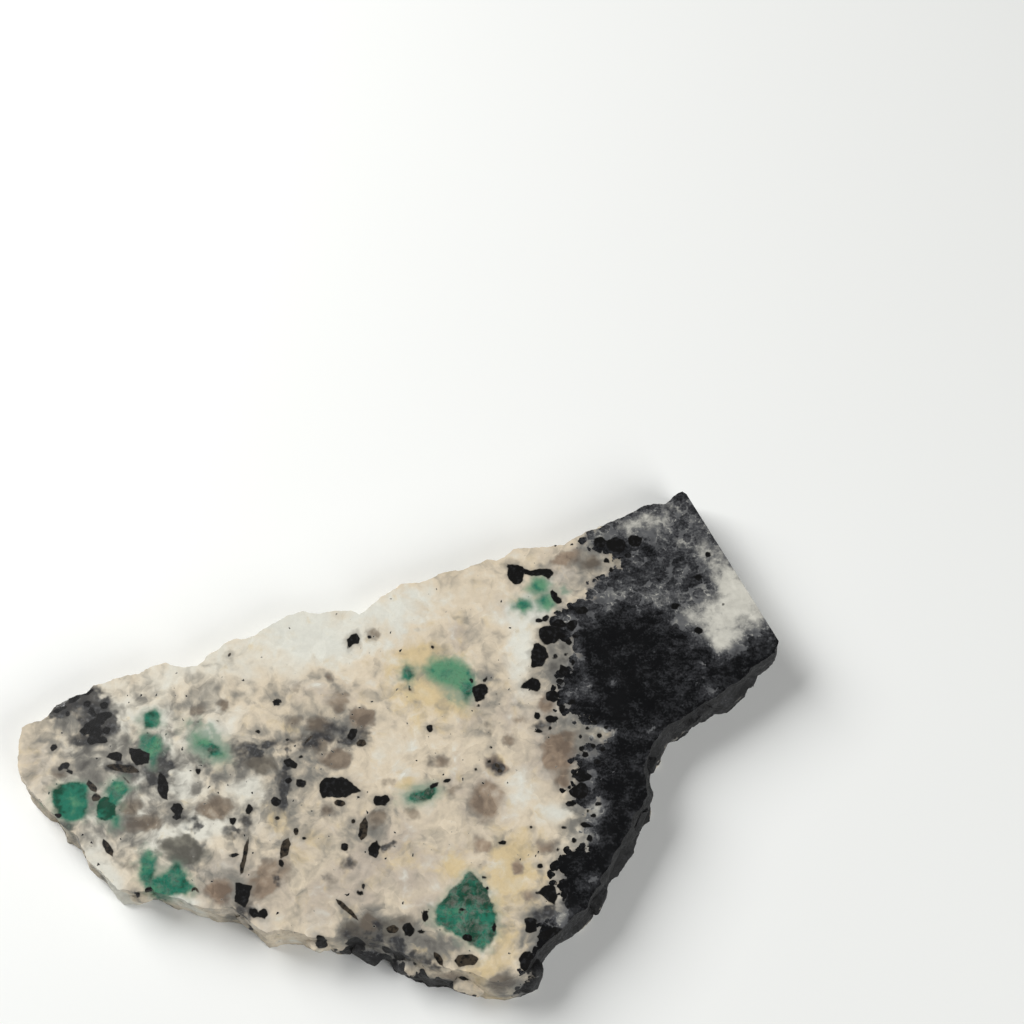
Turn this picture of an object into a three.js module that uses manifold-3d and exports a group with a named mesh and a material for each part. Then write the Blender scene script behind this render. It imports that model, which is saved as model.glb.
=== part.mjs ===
// An emerald slab: a thin slice of pale quartz and feldspar rock with emeralds, black grains and
// a band of dark mica schist. Two faces and one edge are sawn flat; the rest of the rim is broken.
// Millimetres, +Z up. The slab lies on its back face, its show face up.
import * as THREE from 'three';
import { mergeVertices } from 'three/addons/utils/BufferGeometryUtils.js';
import Module from 'manifold-3d';

// ---- driving dimensions -------------------------------------------------------------------

const THICKNESS = 3.0;          // between the two sawn faces
const STATION_STEP = 0.56;      // spacing of the points round the rim
const LAYER_STEP = 0.4;         // spacing of the layers up the rim
const OVERRUN = 0.6;            // the rough blank runs this far past each sawn face
const LEDGE_SPACING = 1.5;      // mean size of one broken facet of the rim
const LEDGE_TILT = 0.16;        // slope of a facet against the rim, rise over run
const FACE_BITE = 0.35;         // share of a ledge's depth that still shows at the show face
const NORMAL_REACH = 3;         // stations on each side that an outward direction is taken over

// The outline of the show face, clockwise from the left tip, as stretches of the rim.
// lean: how far the rim spreads outward below the show face; relief: depth of its ledges.
const RIM = [
  { name: 'upper broken edge', lean: 0.14, relief: 0.24, points: [
    [-23.25, -0.6], [-23.1, 0.35], [-22.5, 0.6], [-21.5, 1.1], [-21.1, 1.75], [-20.5, 2.05],
    [-19.7, 2.45], [-19.3, 2.5], [-18.9, 3.0], [-17.9, 3.4], [-17.0, 3.7], [-16.1, 3.75],
    [-15.4, 4.25], [-14.6, 4.4], [-13.4, 4.15], [-12.6, 4.25], [-12.2, 4.7], [-12.0, 5.1],
    [-11.0, 5.75], [-10.2, 6.05], [-9.9, 5.95], [-9.0, 6.3], [-8.3, 6.8], [-7.6, 7.2],
    [-7.0, 7.65], [-6.2, 7.9], [-5.3, 7.8], [-4.0, 7.95], [-3.2, 8.0], [-2.6, 7.75],
    [-1.8, 8.4], [-1.0, 9.0], [0, 9.7], [1.1, 9.9], [2.6, 10.5], [3.8, 10.7],
    [5.4, 11.25], [6.5, 11.6], [7.1, 12.0], [8.0, 12.15], [9.2, 12.2], [10.2, 12.4],
    [11.2, 12.9], [12.8, 13.75], [14.4, 14.5], [15.4, 15.08], [16.3, 15.25], [16.8, 15.23],
    [17.35, 15.76], [17.9, 16.06],
  ] },
  { name: 'sawn edge', lean: 0, relief: 0, points: [[18.2, 15.8], [23.6, 5.95]] },
  { name: 'right corner', lean: 0.2, relief: 0.22, points: [
    [23.3, 5.2], [22.4, 4.6], [21.6, 4.05],
  ] },
  { name: 'schist edge', lean: 0.42, relief: 0.32, points: [
    [20.86, 3.46], [20.1, 2.7], [19.6, 2.3], [18.6, 1.8], [17.9, 1.4], [17.2, 1.0],
    [16.4, 0.55], [15.9, 0], [15.5, -0.7], [15.0, -1.6], [14.95, -2.4], [15.05, -3.2],
    [15.05, -3.9], [14.7, -4.5], [14.2, -5.1], [14.05, -5.7], [13.7, -6.35], [13.25, -7.2],
    [12.9, -7.95], [12.5, -8.65], [12.0, -9.4], [11.5, -10.1], [11.35, -10.6], [10.85, -11.15],
    [10.1, -11.75], [9.5, -12.25], [8.9, -12.7], [8.4, -13.3], [8.0, -14.0],
  ] },
  { name: 'foot', lean: 0.5, relief: 0.24, points: [
    [7.75, -14.4], [7.2, -14.8], [6.4, -15.0], [5.6, -14.95], [4.8, -14.6], [4.0, -14.35],
    [3.0, -14.15], [2.2, -14.1], [1.4, -13.75], [0.6, -13.3], [-0.2, -12.95], [-1.0, -12.65],
    [-1.9, -12.45], [-2.8, -12.3], [-3.6, -12.4],
  ] },
  { name: 'lower broken edge', lean: 0.15, relief: 0.22, points: [
    [-4.6, -12.4], [-5.6, -12.15], [-6.7, -12.0], [-7.6, -12.2], [-8.4, -11.6], [-9.0, -11.0],
    [-9.7, -10.65], [-10.9, -10.75], [-12.0, -10.5], [-12.8, -10.1], [-13.7, -9.9],
    [-14.5, -9.6], [-15.6, -9.7], [-16.5, -9.5], [-17.0, -9.1], [-17.6, -8.5],
    [-18.5, -7.75], [-18.85, -6.95], [-19.2, -6.2], [-20.1, -5.75], [-20.5, -5.15],
    [-21.4, -4.35], [-22.4, -3.3], [-22.95, -2.4], [-23.2, -1.5],
  ] },
];

// Flakes knocked off the two arrises: [x, y, z, radius], the centre of each scoop.
const FLAKE_SCARS = [
  [-21.2, 2.5, 3.7, 1.15], [-12.9, 5.6, 3.9, 1.25], [-2.5, 9.0, 3.8, 1.3], [7.0, 13.1, 3.8, 1.35],
  [17.4, 17.0, 3.8, 1.3], [15.9, -2.3, 3.7, 1.2], [12.5, -11.0, 3.8, 1.35], [-5.9, -13.4, 3.9, 1.3],
  [-19.9, -7.2, 3.8, 1.3], [24.6, 4.9, 3.5, 1.3], [-16.4, 5.0, -0.7, 1.4], [-7.6, 8.9, -0.8, 1.5],
  [3.4, 11.9, -0.8, 1.5], [18.9, 0.5, -0.7, 1.4], [13.6, -8.4, -0.8, 1.5], [3.9, -16.3, -0.8, 1.4],
  [-10.2, -12.4, -0.8, 1.4], [-18.3, -9.7, -0.8, 1.5], [-24.3, -1.2, -0.6, 1.4],
];

// Six-sided crystals and blocky grains bared by the break, their flat faces just proud of the rim:
// [x, y, z, radius, half length, heading of the axis in degrees, tilt in degrees].
const RIM_CRYSTALS = [
  [-20.1, -4.75, 1.4, 0.85, 1.0, 128, 62],       // the emerald at the left end
  [-20.1, 1.75, 1.8, 0.6, 0.7, 25, 40],
  [-15.3, -9.65, 1.8, 0.6, 0.7, 175, -50],
  [-8.7, -11.0, 1.3, 0.65, 0.85, 150, 35],
  [-4.4, -12.5, 1.9, 0.6, 0.7, 5, -55],
  [-1.7, -12.9, 1.2, 0.7, 0.9, 160, 20],
  [0.7, -13.9, 1.6, 0.6, 0.8, 155, -48],
  [4.3, -14.9, 1.3, 0.65, 0.9, 175, 30],
  [8.1, -14.4, 1.6, 0.75, 0.9, 55, 55],
  [12.0, -9.7, 1.2, 0.7, 0.9, 65, -25],
  [14.5, -5.0, 1.7, 0.65, 0.9, 58, 48],
  [15.4, -1.2, 1.3, 0.65, 0.8, 70, -38],
  [18.4, 1.75, 1.8, 0.7, 0.9, 35, 30],
  [13.2, 13.7, 1.6, 0.6, 0.8, 28, -40],
  [8.6, 11.9, 1.8, 0.6, 0.7, 8, 50],
];

const COLOUR = { rock: 0xd8cdb8 };
const SEED = 2417;

// ---- small helpers ------------------------------------------------------------------------

const wasm = await Module();
wasm.setup();

// A repeatable stream of numbers from 0 to 1.
function makeRandom(seed) {
  let state = seed >>> 0;
  return () => {
    state = (Math.imul(state, 1664525) + 1013904223) >>> 0;
    return state / 4294967296;
  };
}

function mergedCopy(geometry) {
  const bare = geometry.index ? geometry.toNonIndexed() : geometry.clone();
  bare.deleteAttribute('normal');
  bare.deleteAttribute('uv');
  return mergeVertices(bare, 1e-4);
}

function solidOf(geometry) {
  const merged = mergedCopy(geometry);
  return new wasm.Manifold(new wasm.Mesh({
    numProp: 3,
    vertProperties: Float32Array.from(merged.attributes.position.array),
    triVerts: Uint32Array.from(merged.index.array),
  }));
}

function geometryOf(solid) {
  const mesh = solid.getMesh();
  const geometry = new THREE.BufferGeometry();
  geometry.setAttribute('position', new THREE.BufferAttribute(mesh.vertProperties, 3));
  geometry.setIndex(new THREE.BufferAttribute(mesh.triVerts, 1));
  return geometry;
}

// ---- the rim ------------------------------------------------------------------------------

// Evenly spaced stations round the outline, each with its stretch of rim and its outward direction.
function rimStations() {
  const corners = RIM.flatMap((stretch) => stretch.points.map(([x, y]) => (
    { place: new THREE.Vector2(x, y), stretch })));
  const stations = [];
  corners.forEach((corner, index) => {
    const next = corners[(index + 1) % corners.length];
    const run = corner.place.distanceTo(next.place);
    const count = Math.max(1, Math.round(run / STATION_STEP));
    for (let step = 0; step < count; step += 1) {
      const place = corner.place.clone().lerp(next.place, step / count);
      const leaving = corner.stretch === next.stretch || step === 0;
      stations.push({ place, stretch: leaving ? corner.stretch : next.stretch });
    }
  });
  stations.forEach((station, index) => {
    const total = stations.length;
    const before = stations[(index - NORMAL_REACH + total) % total].place;
    const after = stations[(index + NORMAL_REACH) % total].place;
    const along = after.clone().sub(before).normalize();
    station.outward = new THREE.Vector2(-along.y, along.x);   // the outline runs clockwise
  });
  return stations;
}

// Broken facets: each seed stands for one small flat face with its own depth and slope.
function ledgeSeeds(stations, random) {
  const seeds = [];
  const stride = Math.round(LEDGE_SPACING / STATION_STEP);
  for (let index = 0; index < stations.length; index += stride) {
    for (let height = -0.3; height < THICKNESS + OVERRUN; height += LEDGE_SPACING) {
      const jitter = Math.floor(random() * stride);
      const station = stations[(index + jitter) % stations.length];
      seeds.push({
        place: new THREE.Vector3(station.place.x, station.place.y, height + random() * LEDGE_SPACING),
        depth: random() * 2 - 1,
        slope: new THREE.Vector3(random() - 0.5, random() - 0.5, random() - 0.5).multiplyScalar(2),
      });
    }
  }
  return seeds;
}

// How far a point of the rim stands out (or in), in units of its stretch's relief.
function ledgeOffset(place, seeds) {
  let nearest = seeds[0];
  let best = Infinity;
  for (const seed of seeds) {
    const distance = seed.place.distanceToSquared(place);
    if (distance < best) {
      best = distance;
      nearest = seed;
    }
  }
  const slope = place.clone().sub(nearest.place).dot(nearest.slope) * LEDGE_TILT;
  return THREE.MathUtils.clamp(nearest.depth + slope / 0.2, -1.3, 1.3);
}

// Going down from the show face the side bows outward, and its ledges reach their full depth.
function sideOffset(place, { lean, relief }, seeds) {
  const below = THREE.MathUtils.clamp((THICKNESS - place.z) / THICKNESS, 0, 1);
  const bow = lean * Math.sin(Math.min(below * 1.25, 1) * Math.PI / 2);
  return bow + relief * THREE.MathUtils.lerp(FACE_BITE, 1, below) * ledgeOffset(place, seeds);
}

// The rough blank, a little taller than the slab, with its rim broken into ledges.
function roughBlank(stations, seeds) {
  const tall = THICKNESS + 2 * OVERRUN;
  const blank = mergedCopy(new THREE.ExtrudeGeometry(
    new THREE.Shape(stations.map((station) => station.place)),
    { depth: tall, steps: Math.round(tall / LAYER_STEP), bevelEnabled: false },
  ));
  blank.translate(0, 0, -OVERRUN);
  const position = blank.attributes.position;
  const place = new THREE.Vector3();
  for (let index = 0; index < position.count; index += 1) {
    place.fromBufferAttribute(position, index);
    const station = nearestStation(place, stations);
    const shift = sideOffset(place, station.stretch, seeds);
    position.setXY(index, place.x + station.outward.x * shift, place.y + station.outward.y * shift);
  }
  return solidOf(blank);
}

function nearestStation(place, stations) {
  return stations.reduce((found, station) => {
    const distance = Math.hypot(station.place.x - place.x, station.place.y - place.y);
    return distance < found.distance ? { distance, station } : found;
  }, { distance: Infinity, station: stations[0] }).station;
}

// ---- sawn faces, flake scars and rim crystals ----------------------------------------------

function sawnBlock() {
  const wide = 80;
  const block = new THREE.BoxGeometry(wide, wide, THICKNESS);
  block.translate(0, 0, THICKNESS / 2);
  return solidOf(block);
}

function flakeScar([x, y, z, radius], random) {
  const scoop = new THREE.IcosahedronGeometry(radius, 1);
  scoop.rotateX(random() * Math.PI);
  scoop.rotateZ(random() * Math.PI);
  scoop.translate(x, y, z);
  return solidOf(scoop);
}

function rimCrystal([x, y, z, radius, halfLength, heading, tilt], random) {
  const prism = new THREE.CylinderGeometry(radius * 0.8, radius, 2 * halfLength, 6);
  prism.rotateY(random() * Math.PI);
  prism.rotateZ(-Math.PI / 2);
  prism.rotateY(-THREE.MathUtils.degToRad(tilt));
  prism.rotateZ(THREE.MathUtils.degToRad(heading));
  prism.translate(x, y, z);
  return solidOf(prism);
}

// ---- the slab -----------------------------------------------------------------------------

function slabGeometry() {
  const random = makeRandom(SEED);
  const stations = rimStations();
  let slab = roughBlank(stations, ledgeSeeds(stations, random));
  for (const scar of FLAKE_SCARS) {
    slab = slab.subtract(flakeScar(scar, random));
  }
  for (const crystal of RIM_CRYSTALS) {
    slab = slab.add(rimCrystal(crystal, random));
  }
  return geometryOf(slab.intersect(sawnBlock()));
}

// The origin is at the middle of the resting face's box, so the outline is centred here.
function centred(geometry) {
  geometry.computeBoundingBox();
  const { min, max } = geometry.boundingBox;
  geometry.translate(-(min.x + max.x) / 2, -(min.y + max.y) / 2, 0);
  geometry.computeVertexNormals();
  return geometry;
}

function makeSlab() {
  const stone = new THREE.MeshStandardMaterial({ color: COLOUR.rock, roughness: 0.35, metalness: 0 });
  const slab = new THREE.Mesh(centred(slabGeometry()), stone);
  slab.name = 'slab';
  return slab;
}

const emeraldSlab = new THREE.Group();
emeraldSlab.add(makeSlab());

export default emeraldSlab;
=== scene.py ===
"""Emerald slab: the looks of a thin sawn slice of rock that holds emeralds, black grains and schist.

The stone is one mesh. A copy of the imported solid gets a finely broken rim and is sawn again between
two dense flat faces. Each mineral is a body with a shape and a depth inside the stone, and every
point of the surface carries its distance to the nearest body of each kind, which the stone's
material turns into crystals, grains, halos and stains. So the rim and the back cut the same bodies.
"""

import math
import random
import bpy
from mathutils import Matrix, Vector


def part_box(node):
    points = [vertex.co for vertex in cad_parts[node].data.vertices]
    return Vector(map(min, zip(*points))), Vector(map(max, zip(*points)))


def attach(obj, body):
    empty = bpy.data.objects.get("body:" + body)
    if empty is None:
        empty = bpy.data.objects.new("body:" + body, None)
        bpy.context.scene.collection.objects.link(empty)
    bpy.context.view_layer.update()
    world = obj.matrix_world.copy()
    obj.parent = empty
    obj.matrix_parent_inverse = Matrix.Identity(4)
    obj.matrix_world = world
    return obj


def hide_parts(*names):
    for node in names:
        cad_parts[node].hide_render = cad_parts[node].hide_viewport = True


bl_info = {
    "name": "Emerald slab",
    "version": (1, 0, 0),
    "blender": (4, 5, 0),
    "location": "View3D > Sidebar > Emerald slab",
    "description": "Builds a polished slice of emerald-bearing rock and its stage",
    "category": "Object",
}

import bmesh
import bpy
import numpy as np
from bpy.props import FloatProperty, FloatVectorProperty, IntProperty, PointerProperty
from mathutils import Matrix, Vector, noise

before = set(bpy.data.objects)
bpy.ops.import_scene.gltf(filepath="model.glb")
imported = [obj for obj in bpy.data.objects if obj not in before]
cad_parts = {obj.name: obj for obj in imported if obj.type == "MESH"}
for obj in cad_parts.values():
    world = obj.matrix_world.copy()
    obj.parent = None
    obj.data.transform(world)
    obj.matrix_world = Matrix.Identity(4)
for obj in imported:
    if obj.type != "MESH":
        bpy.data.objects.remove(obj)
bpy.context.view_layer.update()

MM = 0.001                      # lengths below are in millimetres, the scene is in metres
NODE = "slab"
BODY = "root"
PIECE = "emerald_slab"

STONE_LOW, STONE_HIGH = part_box(NODE)
THICKNESS = (STONE_HIGH.z - STONE_LOW.z) / MM
PLAN_LOW = (-23.575, -15.597)   # the stone's low corner in the plan that the minerals are placed on
PLAN_HIGH = (-PLAN_LOW[0], 1.0 - PLAN_LOW[1])   # the high corner of the room for hidden minerals
PLAN_SHIFT = np.array([STONE_LOW.x / MM - PLAN_LOW[0], STONE_LOW.y / MM - PLAN_LOW[1]])

# ---- the plan of the minerals --------------------------------------------------------------
# Millimetres on the show face, x along the slab and y across it. Headings are in degrees.

# Emeralds: (tone from 0, deep, to 1, pale; half depth; corners).
EMERALDS = [
    (0.42, 4.0, [(-20.85, -3.5), (-20.3, -3.15), (-19.3, -3.0), (-18.8, -3.25), (-18.65, -4.7),
                 (-19.0, -5.35), (-19.7, -5.5), (-20.4, -5.1), (-20.9, -4.3)]),
    (0.46, 1.8, [(-17.65, -3.3), (-17.2, -2.9), (-16.6, -2.95), (-16.3, -3.5), (-16.6, -4.1),
                 (-17.0, -4.5), (-17.5, -4.6), (-17.6, -3.9)]),
    (0.05, 2.4, [(-18.2, -4.6), (-17.95, -4.1), (-17.5, -3.9), (-17.05, -4.2), (-16.95, -4.6),
                 (-17.0, -5.15), (-17.5, -5.4), (-18.1, -5.2)]),
    (0.60, 1.0, [(-17.15, -5.1), (-16.8, -5.2), (-16.75, -5.8), (-17.0, -5.85)]),
    (0.36, 2.0, [(-15.75, 0.85), (-15.55, 1.3), (-15.1, 1.5), (-14.7, 1.25), (-14.6, 0.8),
                 (-14.8, 0.4), (-15.2, 0.25), (-15.6, 0.45)]),
    (0.58, 1.8, [(-15.8, -0.2), (-15.3, 0.05), (-14.8, -0.1), (-14.3, -0.5), (-14.6, -1.1),
                 (-14.9, -1.9), (-15.3, -1.4), (-15.75, -1.0)]),
    (0.98, 1.4, [(-12.5, -0.1), (-11.8, -0.3), (-11.0, -0.8), (-10.5, -1.4), (-11.0, -1.6),
                 (-11.7, -1.2), (-12.4, -0.8)]),
    (0.52, 3.4, [(-14.85, -7.1), (-14.45, -7.7), (-14.35, -8.5), (-14.4, -9.2), (-14.8, -9.5),
                 (-15.25, -9.0), (-15.3, -7.8)]),
    (0.60, 3.6, [(-14.9, -9.2), (-14.3, -8.75), (-13.7, -8.6), (-13.4, -8.05), (-13.0, -8.05),
                 (-12.6, -8.5), (-12.4, -9.0), (-12.0, -9.4), (-12.4, -9.95), (-13.2, -9.95),
                 (-13.9, -10.1), (-14.6, -9.95)]),
    (0.95, 2.6, [(1.5, 4.2), (2.1, 4.75), (2.9, 4.8), (3.7, 4.7), (4.35, 4.2), (4.6, 3.4),
                 (4.5, 2.5), (4.15, 2.1), (3.6, 2.8), (2.6, 3.1), (1.9, 3.5)]),
    (0.50, 1.2, [(0.1, 3.9), (0.4, 4.4), (0.8, 4.3), (0.9, 3.7), (0.55, 3.3), (0.2, 3.5)]),
    (0.38, 1.3, [(0.6, -4.0), (1.0, -3.65), (1.6, -3.5), (2.2, -3.3), (2.45, -3.6), (2.0, -4.1),
                 (1.3, -4.3), (0.7, -4.2)]),
    (0.15, 4.5, [(4.5, -8.5), (5.0, -8.9), (5.4, -9.5), (5.7, -10.2), (6.0, -11.0), (6.0, -12.2),
                 (5.7, -12.9), (5.2, -13.2), (4.4, -12.7), (3.3, -12.1), (2.5, -11.7),
                 (2.3, -10.9), (2.7, -10.4), (3.2, -9.8), (3.8, -9.1)]),
    (1.00, 2.0, [(7.9, 9.4), (8.3, 10.1), (8.9, 10.2), (9.3, 9.7), (9.0, 9.2), (8.4, 9.1)]),
    (0.62, 1.4, [(7.0, 8.2), (7.4, 8.75), (8.0, 8.75), (8.25, 8.2), (7.7, 7.8)]),
    (0.90, 1.6, [(8.5, 8.6), (8.9, 9.1), (9.4, 8.95), (9.6, 8.4), (9.2, 8.0), (8.8, 8.1)]),
]

# Dark cores and pale patches inside the emeralds: (x, y, radius, change of tone).
EMERALD_PATCHES = [
    (-20.5, -3.5, 0.7, -0.32), (-19.3, -3.1, 0.5, -0.25), (-20.8, -4.4, 0.5, -0.1),
    (-19.4, -4.7, 0.8, -0.02), (-17.0, -3.3, 0.3, 0.2), (-12.7, -9.2, 0.6, -0.5),
    (-13.6, -9.6, 0.4, -0.2), (-14.8, -8.6, 0.4, 0.12), (-14.9, -7.7, 0.35, 0.15), (4.1, 2.7, 0.55, -0.6),
    (-14.3, -9.2, 0.5, 0.1), (-13.1, -8.6, 0.5, 0.12), (2.2, 3.9, 0.7, 0.25), (4.5, -9.2, 0.5, -0.12),
    (5.2, -9.9, 0.6, -0.34), (4.1, -10.0, 0.5, -0.26), (3.3, -10.3, 0.4, -0.1), (2.8, -11.1, 0.7, 0.12),
    (4.2, -11.0, 0.7, 0.34), (5.6, -11.4, 0.5, -0.05), (4.6, -11.9, 0.5, -0.26), (3.5, -11.9, 0.4, 0.1),
    (5.3, -12.7, 0.5, 0.34), (5.7, -12.1, 0.3, -0.2), (-11.3, -1.0, 0.5, -1.0), (1.9, -3.7, 0.4, -0.4),
    (1.0, -4.0, 0.3, -0.15),
]

# Pale green clouds where an emerald lies under the surface: (x, y, length, width, heading, weight).
GREEN_CLOUDS = [
    (-11.7, -0.6, 3.6, 2.0, -42, 0.95), (-16.1, 0.9, 0.8, 0.7, 0, 0.45),
    (-15.0, -1.2, 1.4, 0.9, -60, 0.5), (1.3, 4.1, 1.6, 0.9, 5, 0.35), (3.5, 2.3, 2.6, 1.2, -35, 0.6),
    (10.2, 9.3, 1.0, 0.8, 0, 0.6), (8.8, 8.9, 2.4, 2.0, 0, 0.4), (5.8, -12.2, 1.0, 1.9, 80, 0.3),
    (-13.9, -8.8, 2.4, 1.8, -20, 0.3), (-17.0, -5.4, 1.0, 1.1, 0, 0.5), (2.0, -11.2, 0.9, 1.4, 0, 0.4),
    (1.3, -3.8, 3.2, 1.5, 16, 0.75), (0.9, 2.5, 1.6, 1.2, 0, 0.2),
]

# Rock dust that clouds some of the emeralds: the same.
DUST_CLOUDS = [
    (4.2, -10.9, 6.5, 7.0, 0, 0.95), (-15.2, -0.4, 2.6, 4.0, 0, 0.55), (-13.8, -8.9, 4.6, 3.4, 0, 0.55),
    (1.5, -3.8, 3.4, 2.0, 0, 0.9), (0.5, 3.8, 1.6, 2.0, 0, 0.6), (-16.9, -3.4, 1.8, 1.6, 0, 0.55),
    (-11.5, -0.9, 3.6, 2.4, 0, 0.6), (4.2, 2.6, 1.6, 1.6, 0, 0.7), (3.0, 3.9, 3.0, 2.2, 0, 0.15),
    (7.5, 8.2, 2.0, 1.6, 0, 0.3),
]

# Large black grains with their own outlines.
SHAPED_GRAINS = [
    [(-4.7, -3.0), (-4.3, -2.75), (-3.3, -2.75), (-2.7, -3.1), (-2.15, -3.6), (-3.0, -3.9), (-3.6, -4.0),
     (-4.4, -4.05), (-4.75, -3.6)],
    [(4.5, 2.9), (4.9, 3.2), (5.35, 3.2), (5.45, 2.6), (5.25, 2.15), (4.75, 2.0), (4.6, 2.4)],
    [(8.25, 5.75), (8.6, 5.85), (9.1, 5.5), (9.2, 4.9), (8.8, 4.35), (8.1, 4.2), (8.15, 5.0)],
    [(7.5, 2.95), (7.8, 3.4), (8.2, 3.6), (8.6, 3.4), (8.75, 2.95), (8.5, 2.7), (7.9, 2.8)],
    [(8.4, -9.75), (8.9, -9.35), (9.5, -9.3), (9.65, -10.0), (9.5, -10.5), (9.1, -10.35), (8.85, -10.0)],
    [(-9.5, -9.2), (-8.6, -9.35), (-8.6, -9.9), (-8.9, -10.65), (-9.5, -10.3)],
    [(-4.8, -12.8), (-4.5, -12.35), (-4.2, -12.3), (-3.8, -12.9), (-4.5, -13.1)],
    [(6.6, 11.2), (7.6, 10.9), (7.75, 10.3), (7.5, 9.75), (7.0, 9.7), (6.7, 10.3)],
    [(7.7, 10.75), (8.1, 10.7), (9.4, 10.8), (9.6, 10.5), (9.3, 10.0), (8.9, 10.3), (8.2, 10.3),
     (7.7, 10.35)],
    [(-16.5, -0.85), (-15.8, -0.95), (-15.15, -1.2), (-15.2, -1.85), (-15.9, -2.05), (-16.3, -1.6)],
    [(-3.3, 5.45), (-3.3, 6.05), (-3.1, 6.4), (-2.8, 6.45), (-2.55, 6.15), (-2.65, 5.85), (-2.95, 5.75)],
    [(8.65, 6.85), (9.3, 7.0), (10.0, 6.9), (10.0, 6.1), (9.4, 5.8), (9.05, 5.6), (8.65, 6.1)],
    [(12.1, 12.9), (12.7, 13.0), (12.95, 12.6), (12.7, 12.2), (12.2, 12.3)],
    [(13.0, 12.7), (13.6, 12.95), (14.2, 12.6), (14.1, 12.0), (13.4, 11.85), (13.0, 12.2)],
]

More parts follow.
